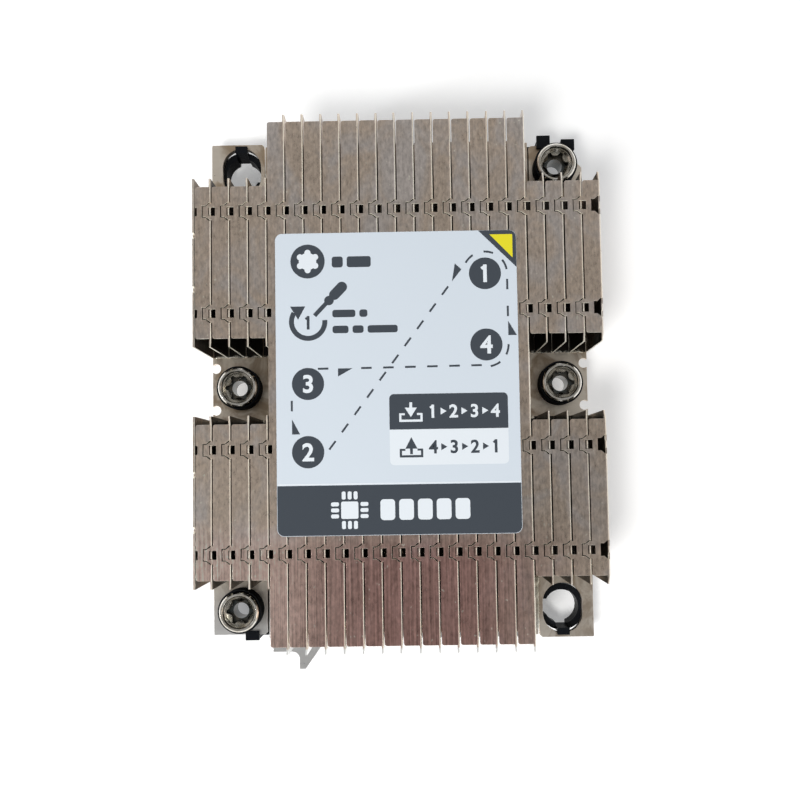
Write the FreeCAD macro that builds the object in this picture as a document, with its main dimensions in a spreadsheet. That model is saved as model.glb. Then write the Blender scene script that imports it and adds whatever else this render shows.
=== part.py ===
import FreeCAD, Part
import math
import operator
import os

import Sketcher

# A passive heatsink for a server processor: zipper fins on a mounting plate, a vapour chamber under
# the plate, four captive six-lobe nuts and the plastic carrier that holds the processor against it.
#
# Frame: millimetres, +Z up and away from the processor, +Y towards the rear of the fins (air runs
# along Y), +X to the right. The origin is the centre of the face that touches the processor.

# Every driving size, in millimetres: its alias in the spreadsheet, its value and what it is.
DRIVING_SIZES = [
    # Fins, folded from one sheet
    ("sheet", 0.4, "thickness of the fin sheet"),
    ("fold", 0.2, "bevel on the outside of the folds along a fin"),
    ("pitch", 3.73, "spacing of the fins"),
    ("end_pitch", 3.43, "spacing of the left end plate from the first fin"),
    ("fin_height", 21.0, "height of a fin, foot to top"),
    ("fin_length", 108.0, "length of the long middle fins"),
    ("long_tip", 1.5, "web left standing past the top flange of a long fin"),
    ("side_tip", 1.7, "web left standing past the top flange of a side fin"),
    ("flange_gap", 0.15, "gap from the edge of a flange to the web before it"),
    ("flange_corner", 0.4, "chamfer on the free corners of a top flange"),
    # Locks that zip each top flange to the fin before it
    ("lock_inset", 5.05, "end of a side fin's top flange to its lock"),
    ("tongue_root", 3.4, "width of a tongue where it crosses the web"),
    ("tongue_nose", 1.9, "width of a tongue at its nose"),
    ("tongue_shoulder", 1.0, "web to the end of the tongue's taper"),
    ("tongue_reach", 1.5, "web to the end of the tongue's nose"),
    ("tongue_play", 0.1, "gap round a tongue in its cut-out"),
    ("window_width", 1.8, "width of the window in a tongue"),
    ("window_depth", 1.0, "web to the far edge of the window"),
    ("nib_play", 0.1, "gap round the nib of the web in the window"),
    ("half_window", 0.4, "depth of the half windows in a first side fin's top flange"),
    ("nick_radius", 0.6, "radius of a nick in the end plate"),
    ("nick_spacing", 10.9, "spacing of the two nicks"),
    # Mounting plate
    ("plate_thickness", 2.0, "thickness of the mounting plate"),
    ("plate_inset", 0.3, "end of a long fin to the end of the plate's middle"),
    ("plate_side_inset", 0.28, "side of the fin stack to the side of the plate"),
    ("slot_width", 0.3, "slot between an ear and the plate's middle"),
    ("slot_run", 0.9, "end of the side fins to the root of the slot"),
    ("nut_beside_fins", 3.74, "last long fin to the collar of a nut"),
    ("nut_span_y", 94.8, "spacing of the corner nuts along"),
    ("guide_inset", 0.3, "guide hole to the line through the nuts, inwards"),
    ("guide_span_y", 96.2, "spacing of the guide holes along"),
    ("guide_width", 8.5, "width of a guide hole"),
    ("guide_length", 10.7, "length of a guide hole"),
    ("nut_ear_margin", 5.5, "corner nut to the end of its ear"),
    ("guide_ear_margin", 6.2, "guide hole to the end of its ear"),
    ("first_pin_chamfer", 5.0, "chamfer that marks the first pin's corner"),
    ("ear_chamfer", 0.5, "chamfer on the slot side of an ear"),
    ("ear_corner", 0.3, "radius on the outer corners of the ears"),
    ("notch_radius", 1.05, "radius of a round notch beside a middle nut"),
    ("notch_inset", 0.7, "side of the plate to the centre of a notch"),
    ("notch_spacing", 9.15, "spacing of the two notches"),
    # Vapour chamber
    ("chamber_depth", 2.5, "contact face to the underside of the plate"),
    ("chamber_width", 56.6, "width of the chamber over its rim"),
    ("chamber_length", 106.4, "length of the chamber over its rim"),
    ("rim_width", 1.7, "width of the crimped rim"),
    ("rim_thickness", 0.6, "thickness of the crimped rim"),
    ("pedestal_width", 53.0, "width of the raised contact face"),
    ("pedestal_length", 72.0, "length of the raised contact face"),
    ("pedestal_height", 0.6, "height of the raised contact face"),
    ("neck_length", 7.5, "rim to the end of the fill neck"),
    ("neck_root", 10.1, "width of the tab that carries the fill neck"),
    ("neck_shelf", 3.8, "rim to the end of that tab"),
    ("neck_tip", 1.3, "width of the fill neck at its end"),
    ("neck_fillet", 1.6, "radius between the tab and the neck"),
    # Captive nuts
    ("nut_diameter", 8.4, "diameter of a nut's head"),
    ("nut_rise", 6.3, "top of the plate to the top of a nut"),
    ("nut_play", 0.05, "running clearance round a nut"),
    ("nut_float", 0.1, "end play of a nut"),
    ("rim_bore", 6.8, "bore inside the nut's rim"),
    ("rim_depth", 1.2, "depth of that bore"),
    ("drive_points", 5.6, "six-lobe drive across its points"),
    ("drive_valleys", 4.05, "six-lobe drive across its valleys"),
    ("drive_depth", 2.6, "depth of the drive"),
    ("thread_bore", 3.3, "core diameter of the nut's thread"),
    ("shank_diameter", 6.2, "diameter of a nut's shank"),
    ("shank_drop", 1.9, "underside of the plate to the end of the shank"),
    ("collar_wall", 0.35, "wall of the collar round a nut's head"),
    ("collar_height", 5.2, "height of the collar"),
    ("clip_groove", 0.5, "depth of the groove for the retaining clip"),
    ("clip_thickness", 0.6, "thickness of the retaining clip"),
    ("clip_width", 1.5, "width of the retaining clip's band"),
    ("clip_mouth", 3.0, "width of the clip's mouth"),
    ("clip_play", 0.15, "gap above and below the clip"),
    ("middle_clear", 2.3, "middle nut's collar to the ends of the side fins"),
    ("corner_clear", 1.7, "corner nut's collar to the ends of the side fins"),
    # Processor carrier
    ("carrier_drop", 3.0, "contact face to the underside of the carrier"),
    ("processor_width", 56.5, "width of the processor"),
    ("processor_length", 76.0, "length of the processor"),
    ("processor_play", 0.25, "gap round the processor in the carrier's window"),
    ("bar_width", 4.2, "width of the carrier's end bars"),
    ("wall_width", 2.8, "width of the carrier's side walls"),
    ("carrier_gap", 0.5, "gap between the carrier and the chamber"),
    ("ring_bore", 7.3, "bore of the carrier's guide rings"),
    ("ring_wall", 1.35, "wall of the guide rings"),
    ("boss_bore", 9.4, "bore of the carrier's round guards under the nuts"),
    ("boss_wall", 0.9, "wall of those guards"),
    ("ring_mouth", 3.4, "width of the opening in a guide ring, on the side of the fins"),
    ("finger_width", 2.6, "width of a snap finger"),
    ("finger_thickness", 0.8, "thickness of a snap finger"),
    ("finger_setback", 0.5, "bore of the ring to the snap finger"),
    ("hook_reach", 0.3, "reach of a snap finger's hook past its guide hole"),
    ("hook_height", 0.9, "height of a snap finger's hook"),
    ("latch_width", 2.9, "width of an edge latch"),
    ("latch_arm", 0.8, "thickness of an edge latch"),
    ("latch_hook", 0.8, "reach of an edge latch over its ear"),
    ("latch_rise", 1.0, "top of the plate to the top of an edge latch"),
    ("latch_beside", 2.1, "corner nut to the middle of its latch beside the fins"),
    ("latch_beyond", 3.25, "rear right nut to the middle of its outer latch"),
    ("long_lever", 2.0, "reach of the rear latch beside the fins past its ear"),
    ("short_lever", 1.1, "reach of the other latches past their ears"),
    ("sill", 0.4, "reach of the carrier past the ears of the corner nuts"),
    ("ledge", 0.7, "reach of a ledge under the processor"),
    ("ledge_thickness", 0.8, "thickness of that ledge"),
    ("ledge_length", 8.0, "length of that ledge"),
    # Label
    ("label_width", 48.3, "width of the label"),
    ("label_length", 60.4, "length of the label"),
    ("label_thickness", 0.15, "thickness of the label"),
    ("label_corner", 1.5, "corner radius of the label"),
    ("label_left", 0.25, "middle of the fins to the middle of the label, leftwards"),
    ("label_forward", 0.7, "middle of the fins to the middle of the label, forwards"),
]

LONG_FINS = 14
SIDE_FINS = 4
SKETCH_MARGIN = 1.0


class Size:
    """A length known both as a number and as a formula on the spreadsheet's cells."""

    def __init__(self, number, formula):
        self.number = number
        self.formula = formula

    def __add__(self, other):
        return combine(operator.add, "+", self, other)

    def __sub__(self, other):
        return combine(operator.sub, "-", self, other)

    def __mul__(self, other):
        return combine(operator.mul, "*", self, other)

    def __truediv__(self, other):
        return combine(operator.truediv, "/", self, other)

    def __neg__(self):
        return self * -1


def as_size(value):
    """Give a plain number as a Size."""
    return value if isinstance(value, Size) else Size(value, f"({value})")


def combine(function, sign, left, right):
    """Work out two sizes as a number and write the same step as a formula."""
    left = as_size(left)
    right = as_size(right)
    return Size(function(left.number, right.number), f"({left.formula} {sign} {right.formula})")


class Sizes:
    """The spreadsheet's cells by their aliases, and the sizes that follow from them."""

    def __init__(self, sheet, rows):
        for number, (alias, value, meaning) in enumerate(rows, start=1):
            sheet.set(f"A{number}", meaning)
            sheet.set(f"B{number}", str(value))
            sheet.setAlias(f"B{number}", alias)
            setattr(self, alias, Size(value, f"{sheet.Name}.{alias}"))

        gaps = LONG_FINS + 2 * SIDE_FINS - 1
        self.web_right = (self.pitch * gaps + self.end_pitch) / 2
        self.half_width = self.web_right + self.sheet / 2
        self.plate_side = self.half_width - self.plate_side_inset
        self.base_top = self.chamber_depth + self.plate_thickness
        self.fin_top = self.base_top + self.fin_height
        self.collar_radius = self.nut_diameter / 2 + self.nut_play + self.collar_wall
        last_long_fin = self.half_width - self.pitch * SIDE_FINS
        self.nut_x = last_long_fin + self.nut_beside_fins + self.collar_radius
        self.nut_y = self.nut_span_y / 2
        self.guide_x = self.nut_x - self.guide_inset
        self.guide_y = self.guide_span_y / 2
        self.ear_end = self.nut_y + self.nut_ear_margin
        self.block_inner = self.collar_radius + self.middle_clear
        self.block_outer = self.nut_y - self.collar_radius - self.corner_clear
        self.block_middle = (self.block_inner + self.block_outer) / 2
        self.block_length = self.block_outer - self.block_inner
        self.lock_offset = self.block_length / 2 - self.side_tip - self.lock_inset
        self.clip_bottom = -self.plate_thickness - self.clip_play - self.clip_thickness
        self.hole_radius = self.shank_diameter / 2 + self.nut_play


# --- Sketches and features ------------------------------------------------------------------------


def new_body(doc, name, x=0, y=0, z=0):
    """Start a body at a place bound to the spreadsheet."""
    body = doc.addObject("PartDesign::Body", name)
    body.Label = name
    for axis, place in (("x", x), ("y", y), ("z", z)):
        if isinstance(place, Size):
            body.setExpression(f"Placement.Base.{axis}", place.formula)
    return body


def new_sketch(body, plane="XY_Plane", level=None):
    """Start a sketch on one of the body's own planes, raised along its normal to a level."""
    sketch = body.newObject("Sketcher::SketchObject", f"{body.Name}_sketch")
    sketch.AttachmentSupport = [(next(f for f in body.Origin.OriginFeatures if f.Role == plane), "")]
    sketch.MapMode = "FlatFace"
    if level is not None:
        sketch.setExpression("AttachmentOffset.Base.z", as_size(level).formula)
    return sketch


def hold(sketch, kind, *geometry, size):
    """Add a dimension to a sketch and bind it to its formula."""
    size = as_size(size)
    index = sketch.addConstraint(Sketcher.Constraint(kind, *geometry, size.number))
    sketch.setExpression(f"Constraints[{index}]", size.formula)


def hold_point(sketch, geometry, position, point):
    """Place a point of a sketch by its two distances from the origin."""
    hold(sketch, "DistanceX", -1, 1, geometry, position, size=point[0])
    hold(sketch, "DistanceY", -1, 1, geometry, position, size=point[1])


def vector(point):
    """Give a pair of sizes as a FreeCAD vector in the sketch."""
    return FreeCAD.Vector(as_size(point[0]).number, as_size(point[1]).number, 0)


def outline(sketch, points):
    """Draw a closed outline of straight edges through the points."""
    first = sketch.GeometryCount
    count = len(points)
    for start, end in zip(points, points[1:] + points[:1]):
        sketch.addGeometry(Part.LineSegment(vector(start), vector(end)), False)
    for step in range(count):
        following = first + (step + 1) % count
        sketch.addConstraint(Sketcher.Constraint("Coincident", first + step, 2, following, 1))
    for step, point in enumerate(points):
        hold_point(sketch, first + step, 1, point)


def rectangle(sketch, left, right, low, high):
    """Draw a rectangle between two distances across and two along."""
    outline(sketch, [(left, low), (right, low), (right, high), (left, high)])


def circle(sketch, centre, radius):
    """Draw a circle."""
    shape = Part.Circle(vector(centre), FreeCAD.Vector(0, 0, 1), as_size(radius).number)
    index = sketch.addGeometry(shape, False)
    hold_point(sketch, index, 3, centre)
    hold(sketch, "Radius", index, size=radius)


def arc(centre, radius, start_degrees, end_degrees):
    """Give an arc, counter-clockwise from its start to its end."""
    full = Part.Circle(vector(centre), FreeCAD.Vector(0, 0, 1), as_size(radius).number)
    return Part.ArcOfCircle(full, math.radians(start_degrees), math.radians(end_degrees))


def long_hole(sketch, centre, width, length):
    """Draw a slot with round ends that runs along Y."""
    radius = width / 2
    reach = (length - width) / 2
    top = (centre[0], centre[1] + reach)
    bottom = (centre[0], centre[1] - reach)
    right = [(top[0] + radius, bottom[1]), (top[0] + radius, top[1])]
    left = [(top[0] - radius, top[1]), (top[0] - radius, bottom[1])]
    first = sketch.GeometryCount
    sketch.addGeometry(Part.LineSegment(vector(right[0]), vector(right[1])), False)
    sketch.addGeometry(arc(top, radius, 0, 180), False)
    sketch.addGeometry(Part.LineSegment(vector(left[0]), vector(left[1])), False)
    sketch.addGeometry(arc(bottom, radius, 180, 360), False)
    for step in range(4):
        following = first + (step + 1) % 4
        sketch.addConstraint(Sketcher.Constraint("Tangent", first + step, 2, following, 1))
    hold_point(sketch, first + 1, 3, top)
    hold_point(sketch, first + 3, 3, bottom)
    hold(sketch, "Radius", first + 1, size=radius)


def six_point_star(sketch, points_across, valleys_across):
    """Draw the six points of a drive with straight sides between them."""
    corners = []
    for turn in range(0, 360, 30):
        radius = (valleys_across if turn % 60 else points_across) / 2
        angle = math.radians(turn)
        corners.append((radius * math.cos(angle), radius * math.sin(angle)))
    outline(sketch, corners)


def pad(body, sketch, length, both_ways=False):
    """Raise a sketch along its normal."""
    feature = body.newObject("PartDesign::Pad", f"{body.Name}_pad")
    feature.Profile = sketch
    feature.setExpression("Length", as_size(length).formula)
    feature.SideType = "Symmetric" if both_ways else "One side"
    feature.Refine = True
    return feature


def pocket(body, sketch, depth, upwards=False, both_ways=False):
    """Cut a sketch out of the body, against the sketch's normal unless it goes upwards."""
    feature = body.newObject("PartDesign::Pocket", f"{body.Name}_pocket")
    feature.Profile = sketch
    feature.setExpression("Length", as_size(depth).formula)
    feature.SideType = "Symmetric" if both_ways else "One side"
    feature.Reversed = upwards
    feature.Refine = True
    return feature


def edges_through(shape, direction, wanted):
    """Name the straight edges that run one way and whose middle passes a test."""
    names = []
    for number, edge in enumerate(shape.Edges, start=1):
        if edge.Curve.TypeId != "Part::GeomLine":
            continue
        along = edge.Vertexes[-1].Point - edge.Vertexes[0].Point
        middle = edge.CenterOfMass
        if abs(along.normalize().dot(direction)) > 0.999 and wanted(middle):
            names.append(f"Edge{number}")
    return names


def dress_edges(body, kind, amount, direction, wanted):
    """Fillet or chamfer the chosen edges of the body's last feature."""
    body.Document.recompute()
    tip = body.Tip
    names = edges_through(tip.Shape, direction, wanted)
    feature = body.newObject(f"PartDesign::{kind}", f"{body.Name}_{kind.lower()}")
    feature.Base = (tip, names)
    feature.setExpression("Radius" if kind == "Fillet" else "Size", amount.formula)
    return feature


def near(value, size, slack=0.01):
    """Tell whether a coordinate is at a size."""
    return abs(value - as_size(size).number) < slack


# --- Fins -----------------------------------------------------------------------------------------


def add_fin(doc, size, name, x, y, length, tip, reach, tongues, cut_outs):
    """Fold one fin: a web with a foot and a top flange that both point left.

    The fin's own origin is at the middle of the web, on the plate. Its tongues reach over the web
    before it, and its cut-outs take the tongues of the fin after it. Both are given by their places
    along the fin. Returns the fin's body.
    """
    body = new_body(doc, name, x, y, size.base_top)
    top = size.fin_height
    half_sheet = size.sheet / 2

    section = new_sketch(body, "XZ_Plane")
    outline(section, [
        (half_sheet, as_size(0)), (half_sheet, top),
        (-reach, top), (-reach, top - size.sheet),
        (-half_sheet, top - size.sheet), (-half_sheet, size.sheet),
        (-reach, size.sheet), (-reach, as_size(0)),
    ])
    pad(body, section, length, both_ways=True)
    dress_edges(body, "Chamfer", size.fold, FreeCAD.Vector(0, 1, 0),
                lambda point: near(point.x, half_sheet))

    flange_level = top - size.sheet
    flange_end = length / 2 - tip
    outside = length / 2 + SKETCH_MARGIN
    setback = new_sketch(body, level=flange_level)
    for side in (1, -1):
        outline(setback, [
            (-half_sheet, outside * side),
            (-half_sheet, flange_end * side),
            (-reach + size.flange_corner, flange_end * side),
            (-reach, (flange_end - size.flange_corner) * side),
            (-reach - SKETCH_MARGIN, (flange_end - size.flange_corner) * side),
            (-reach - SKETCH_MARGIN, outside * side),
        ])
    pocket(body, setback, size.sheet, upwards=True)

    if tongues:
        add_tongues(body, size, flange_level, tongues)
    if cut_outs:
        cut_out_for_next_tongues(body, size, flange_level, cut_outs)
    return body


def add_tongues(body, size, level, locks):
    """Add the tongues that reach over the web before this one, and their windows."""
    tongues = new_sketch(body, level=level)
    window_edge = -size.pitch + size.window_depth
    for lock in locks:
        outline(tongues, [
            (window_edge, lock - size.tongue_root / 2),
            (window_edge, lock + size.tongue_root / 2),
            (-size.pitch, lock + size.tongue_root / 2),
            (-size.pitch - size.tongue_shoulder, lock + size.tongue_nose / 2),
            (-size.pitch - size.tongue_reach, lock + size.tongue_nose / 2),
            (-size.pitch - size.tongue_reach, lock - size.tongue_nose / 2),
            (-size.pitch - size.tongue_shoulder, lock - size.tongue_nose / 2),
            (-size.pitch, lock - size.tongue_root / 2),
        ])
    pad(body, tongues, size.sheet)

    windows = new_sketch(body, level=level)
    for lock in locks:
        rectangle(windows, -size.pitch - size.sheet / 2 - size.nib_play, window_edge,
                  lock - size.window_width / 2, lock + size.window_width / 2)
    pocket(body, windows, size.sheet, upwards=True)


def cut_out_for_next_tongues(body, size, level, locks):
    """Cut the top flange and the web's top away for the next fin's tongues, round a nib of web."""
    cuts = new_sketch(body, level=level)
    root = size.tongue_root / 2 + size.tongue_play
    nose = size.tongue_nose / 2 + size.tongue_play
    nib = size.window_width / 2 - size.nib_play
    nose_end = -size.tongue_reach - size.tongue_play
    for lock in locks:
        outline(cuts, [
            (size.sheet, lock - root),
            (size.sheet, lock + root),
            (as_size(0), lock + root),
            (-size.tongue_shoulder, lock + nose),
            (nose_end, lock + nose),
            (nose_end, lock - nose),
            (-size.tongue_shoulder, lock - nose),
            (as_size(0), lock - root),
        ])
        rectangle(cuts, -size.sheet / 2, size.sheet / 2, lock - nib, lock + nib)
    pocket(body, cuts, size.sheet, upwards=True)


def cut_half_windows(body, size, reach, locks):
    """Notch the free edge of a first side fin's top flange where the others have their tongues."""
    notches = new_sketch(body, level=size.fin_height - size.sheet)
    for lock in locks:
        rectangle(notches, -reach - SKETCH_MARGIN, -reach + size.half_window,
                  lock - size.window_width / 2, lock + size.window_width / 2)
    pocket(body, notches, size.sheet, upwards=True)


def add_end_plate(doc, size, name, y):
    """Cut the flat plate that closes a left-hand block of side fins."""
    body = new_body(doc, name, -size.web_right, y, size.base_top)
    face = new_sketch(body, "YZ_Plane")
    half_length = size.block_length / 2
    rectangle(face, -half_length, half_length, as_size(0), size.fin_height)
    pad(body, face, size.sheet, both_ways=True)
    nicks = new_sketch(body, "YZ_Plane")
    for side in (1, -1):
        circle(nicks, (size.nick_spacing / 2 * side, size.fin_height), size.nick_radius)
    pocket(body, nicks, size.sheet * 2, both_ways=True)


def add_fins(doc, size):
    """Zip the whole stack: side fins on the left, long fins in the middle, side fins on the right."""
    full_reach = size.pitch - size.sheet / 2 - size.flange_gap
    first_reach = size.end_pitch - size.sheet / 2 - size.flange_gap
    side_locks = [-size.lock_offset, size.lock_offset]
    outer_locks = [(size.block_middle + size.lock_offset) * end for end in (-1, 1)]
    inner_locks = [(size.block_middle - size.lock_offset) * end for end in (-1, 1)]
    last = LONG_FINS + 2 * SIDE_FINS

    def web_place(position):
        return size.web_right - size.pitch * (last - position)

    for row, end in (("rear", 1), ("front", -1)):
        add_end_plate(doc, size, f"end_plate_{row}_left", size.block_middle * end)
        for side, before in (("left", 0), ("right", LONG_FINS + SIDE_FINS)):
            for number in range(1, SIDE_FINS + 1):
                first = side == "left" and number == 1
                fin = add_fin(doc, size, f"fin_{row}_{side}_{number}", web_place(before + number),
                              size.block_middle * end, size.block_length, size.side_tip,
                              first_reach if first else full_reach,
                              tongues=[] if first else side_locks, cut_outs=side_locks)
                if first:
                    cut_half_windows(fin, size, first_reach, side_locks)
    # Under the label only the outer locks zip the long fins. Next to the side fins all four do.
    for number in range(1, LONG_FINS + 1):
        add_fin(doc, size, f"fin_long_{number:02d}", web_place(SIDE_FINS + number), 0,
                size.fin_length, size.long_tip, full_reach,
                tongues=outer_locks + (inner_locks if number == 1 else []),
                cut_outs=outer_locks + (inner_locks if number == LONG_FINS else []))


# --- Mounting plate and vapour chamber ------------------------------------------------------------


def nut_places(size):
    """Give the four nuts by name, with their places across and along."""
    return [
        ("rear_right", size.nut_x, size.nut_y),
        ("front_left", -size.nut_x, -size.nut_y),
        ("left", -size.nut_x, as_size(0)),
        ("right", size.nut_x, as_size(0)),
    ]


def guide_places(size):
    """Give the guide holes: the side of the plate in Y, then the place across and along."""
    return [(1, -size.guide_x, size.guide_y), (-1, size.guide_x, -size.guide_y)]


def add_mounting_plate(doc, size):
    """Stamp the plate that carries the fins, with an ear at each corner."""
    body = new_body(doc, "mounting_plate", z=size.chamber_depth)
    middle_half = size.chamber_width / 2 + size.rim_thickness
    slot_root = size.block_outer + size.slot_run
    ear_inner = middle_half + size.slot_width

    middle = new_sketch(body)
    middle_end = size.fin_length / 2 - size.plate_inset
    rectangle(middle, -middle_half, middle_half, -middle_end, middle_end)
    pad(body, middle, size.plate_thickness)

    wings = new_sketch(body)
    rectangle(wings, -size.plate_side, size.plate_side, -slot_root, slot_root)
    pad(body, wings, size.plate_thickness)

    ears = new_sketch(body)
    guide_end = size.guide_y + size.guide_ear_margin
    nut_end = size.ear_end
    root = slot_root - SKETCH_MARGIN
    for across, along, end, chamfered in ((-1, 1, guide_end, False), (1, -1, guide_end, False),
                                          (1, 1, nut_end, True), (-1, -1, nut_end, False)):
        points = [
            (ear_inner * across, root * along),
            (ear_inner * across, (end - size.ear_chamfer) * along),
            ((ear_inner + size.ear_chamfer) * across, end * along),
        ]
        if chamfered:
            points.append(((size.plate_side - size.first_pin_chamfer) * across, end * along))
            points.append((size.plate_side * across, (end - size.first_pin_chamfer) * along))
        else:
            points.append((size.plate_side * across, end * along))
        points.append((size.plate_side * across, root * along))
        outline(ears, points)
    pad(body, ears, size.plate_thickness)
    dress_edges(body, "Fillet", size.ear_corner, FreeCAD.Vector(0, 0, 1),
                lambda point: near(abs(point.x), size.plate_side)
                and (near(abs(point.y), guide_end) or near(point.y, -nut_end)))

    holes = new_sketch(body)
    for side in (1, -1):
        for end in (1, -1):
            circle(holes, ((size.plate_side - size.notch_inset) * side, size.notch_spacing / 2 * end),
                   size.notch_radius)
    for _, x, y in nut_places(size):
        circle(holes, (x, y), size.hole_radius)
    for _, x, y in guide_places(size):
        long_hole(holes, (x, y), size.guide_width, size.guide_length)
    pocket(body, holes, size.plate_thickness, upwards=True)


def add_vapour_chamber(doc, size):
    """Press and seal the chamber: contact face, body, crimped rim and fill neck."""
    body = new_body(doc, "vapour_chamber")
    half_width = size.chamber_width / 2
    half_length = size.chamber_length / 2

    pedestal = new_sketch(body)
    rectangle(pedestal, -size.pedestal_width / 2, size.pedestal_width / 2,
              -size.pedestal_length / 2, size.pedestal_length / 2)
    pad(body, pedestal, size.pedestal_height)

    shell = new_sketch(body, level=size.pedestal_height)
    rectangle(shell, -half_width + size.rim_width, half_width - size.rim_width,
              -half_length + size.rim_width, half_length - size.rim_width)
    pad(body, shell, size.chamber_depth - size.pedestal_height)

    rim_level = size.chamber_depth - size.rim_thickness
    rim = new_sketch(body, level=rim_level)
    rectangle(rim, -half_width, half_width, -half_length, half_length)
    pad(body, rim, size.rim_thickness)

    neck = new_sketch(body, level=rim_level)
    neck_left = -half_width + size.neck_root / 2 + size.neck_tip / 2
    shelf = -half_length - size.neck_shelf
    outline(neck, [
        (-half_width, -half_length + SKETCH_MARGIN),
        (-half_width, shelf),
        (neck_left, shelf),
        (neck_left, -half_length - size.neck_length),
        (neck_left + size.neck_tip, -half_length - size.neck_length),
        (-half_width + size.neck_root, shelf + size.neck_tip / 2),
        (-half_width + size.neck_root, -half_length + SKETCH_MARGIN),
    ])
    pad(body, neck, size.rim_thickness)
    dress_edges(body, "Fillet", size.neck_fillet, FreeCAD.Vector(0, 0, 1),
                lambda point: near(point.x, neck_left) and near(point.y, shelf))


# --- Captive nuts ---------------------------------------------------------------------------------


def add_nut(doc, size, where, x, y):
    """Turn one captive nut: rim, six-lobe drive, threaded shank and clip groove."""
    body = new_body(doc, f"nut_{where}", x, y, size.base_top)
    head = size.nut_diameter / 2
    shank = size.shank_diameter / 2
    groove = shank - size.clip_groove
    end = -size.plate_thickness - size.shank_drop
    drive_floor = size.nut_rise - size.rim_depth - size.drive_depth
    bore = size.thread_bore / 2

    section = new_sketch(body, "XZ_Plane")
    outline(section, [
        (bore, end), (shank, end),
        (shank, size.clip_bottom - size.clip_play / 2),
        (groove, size.clip_bottom - size.clip_play / 2),
        (groove, size.clip_bottom + size.clip_thickness + size.clip_play / 2),
        (shank, size.clip_bottom + size.clip_thickness + size.clip_play / 2),
        (shank, size.nut_float), (head, size.nut_float), (head, size.nut_rise),
        (size.rim_bore / 2, size.nut_rise), (size.rim_bore / 2, size.nut_rise - size.rim_depth),
        (bore, size.nut_rise - size.rim_depth),
    ])
    turned = body.newObject("PartDesign::Revolution", f"{body.Name}_turned")
    turned.Profile = section
    turned.ReferenceAxis = (section, ["V_Axis"])
    turned.Angle = 360

    drive = new_sketch(body, level=drive_floor)
    six_point_star(drive, size.drive_points, size.drive_valleys)
    pocket(body, drive, size.drive_depth, upwards=True)


def add_collar(doc, size, where, x, y):
    """Mould the black collar that stands on the plate and guides the nut's head."""
    body = new_body(doc, f"collar_{where}", x, y, size.base_top)
    wall = new_sketch(body)
    circle(wall, (as_size(0), as_size(0)), size.collar_radius)
    circle(wall, (as_size(0), as_size(0)), size.nut_diameter / 2 + size.nut_play)
    pad(body, wall, size.collar_height)


def add_clip(doc, size, where, x, y):
    """Stamp the open clip that keeps a nut in its ear."""
    body = new_body(doc, f"clip_{where}", x, y, size.base_top)
    inner = size.shank_diameter / 2 - size.clip_groove + size.nut_play
    band = new_sketch(body, level=size.clip_bottom)
    circle(band, (as_size(0), as_size(0)), inner + size.clip_width)
    circle(band, (as_size(0), as_size(0)), inner)
    pad(body, band, size.clip_thickness)
    mouth = new_sketch(body, level=size.clip_bottom)
    rectangle(mouth, -size.clip_mouth / 2, size.clip_mouth / 2, as_size(0), size.nut_diameter)
    pocket(body, mouth, size.clip_thickness, upwards=True)


# --- Processor carrier and label ------------------------------------------------------------------


def add_carrier(doc, size):
    """Mould the carrier: window frame, side walls, guide rings, nut guards, fingers and latches."""
    body = new_body(doc, "processor_carrier", z=-size.carrier_drop)
    to_plate = size.carrier_drop + size.chamber_depth
    window_x = size.processor_width / 2 + size.processor_play
    window_y = size.processor_length / 2 + size.processor_play
    wall_inner = size.chamber_width / 2 + size.carrier_gap
    wall_outer = wall_inner + size.wall_width
    bar_end = window_y + size.bar_width

    frame = new_sketch(body)
    rectangle(frame, -wall_outer, wall_outer, -bar_end, bar_end)
    rectangle(frame, -window_x, window_x, -window_y, window_y)
    pad(body, frame, size.carrier_drop + size.pedestal_height - size.carrier_gap)

    walls = new_sketch(body)
    for side in (1, -1):
        rectangle(walls, wall_inner * side, wall_outer * side, -bar_end, bar_end)
    pad(body, walls, to_plate)

    arms = new_sketch(body)
    for name, x, y in guide_places(size) + nut_places(size)[:2]:
        side = 1 if x.number > 0 else -1
        end = 1 if y.number > 0 else -1
        rectangle(arms, wall_inner * side, x, window_y * end, y)
    pad(body, arms, to_plate)

    rounds = new_sketch(body)
    boss_outer = size.boss_bore / 2 + size.boss_wall
    ring_outer = size.ring_bore / 2 + size.ring_wall
    for _, x, y in guide_places(size):
        circle(rounds, (x, y), ring_outer)
    for _, x, y in nut_places(size)[:2]:
        circle(rounds, (x, y), boss_outer)
    pad(body, rounds, to_plate)

    ledges = new_sketch(body)
    for side in (1, -1):
        for end in (1, -1):
            middle = window_x / 2 * side
            rectangle(ledges, middle - size.ledge_length / 2, middle + size.ledge_length / 2,
                      (window_y - size.ledge) * end, (window_y + SKETCH_MARGIN) * end)
    pad(body, ledges, size.ledge_thickness)

    add_edge_latches(body, size, wall_inner, boss_outer)
    add_snap_fingers(body, size)

    bores = new_sketch(body)
    for _, x, y in guide_places(size):
        circle(bores, (x, y), size.ring_bore / 2)
    for _, x, y in nut_places(size):
        circle(bores, (x, y), size.boss_bore / 2)
    pocket(body, bores, to_plate, upwards=True)

    mouths = new_sketch(body)
    for end, x, y in guide_places(size):
        rectangle(mouths, x, x + (ring_outer + SKETCH_MARGIN) * end,
                  y - size.ring_mouth / 2, y + size.ring_mouth / 2)
        rectangle(mouths, x - size.finger_width / 2, x + size.finger_width / 2,
                  y + size.ring_mouth / 2 * end, y + (size.ring_bore / 2 + size.finger_setback) * end)
    pocket(body, mouths, to_plate, upwards=True)


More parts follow.
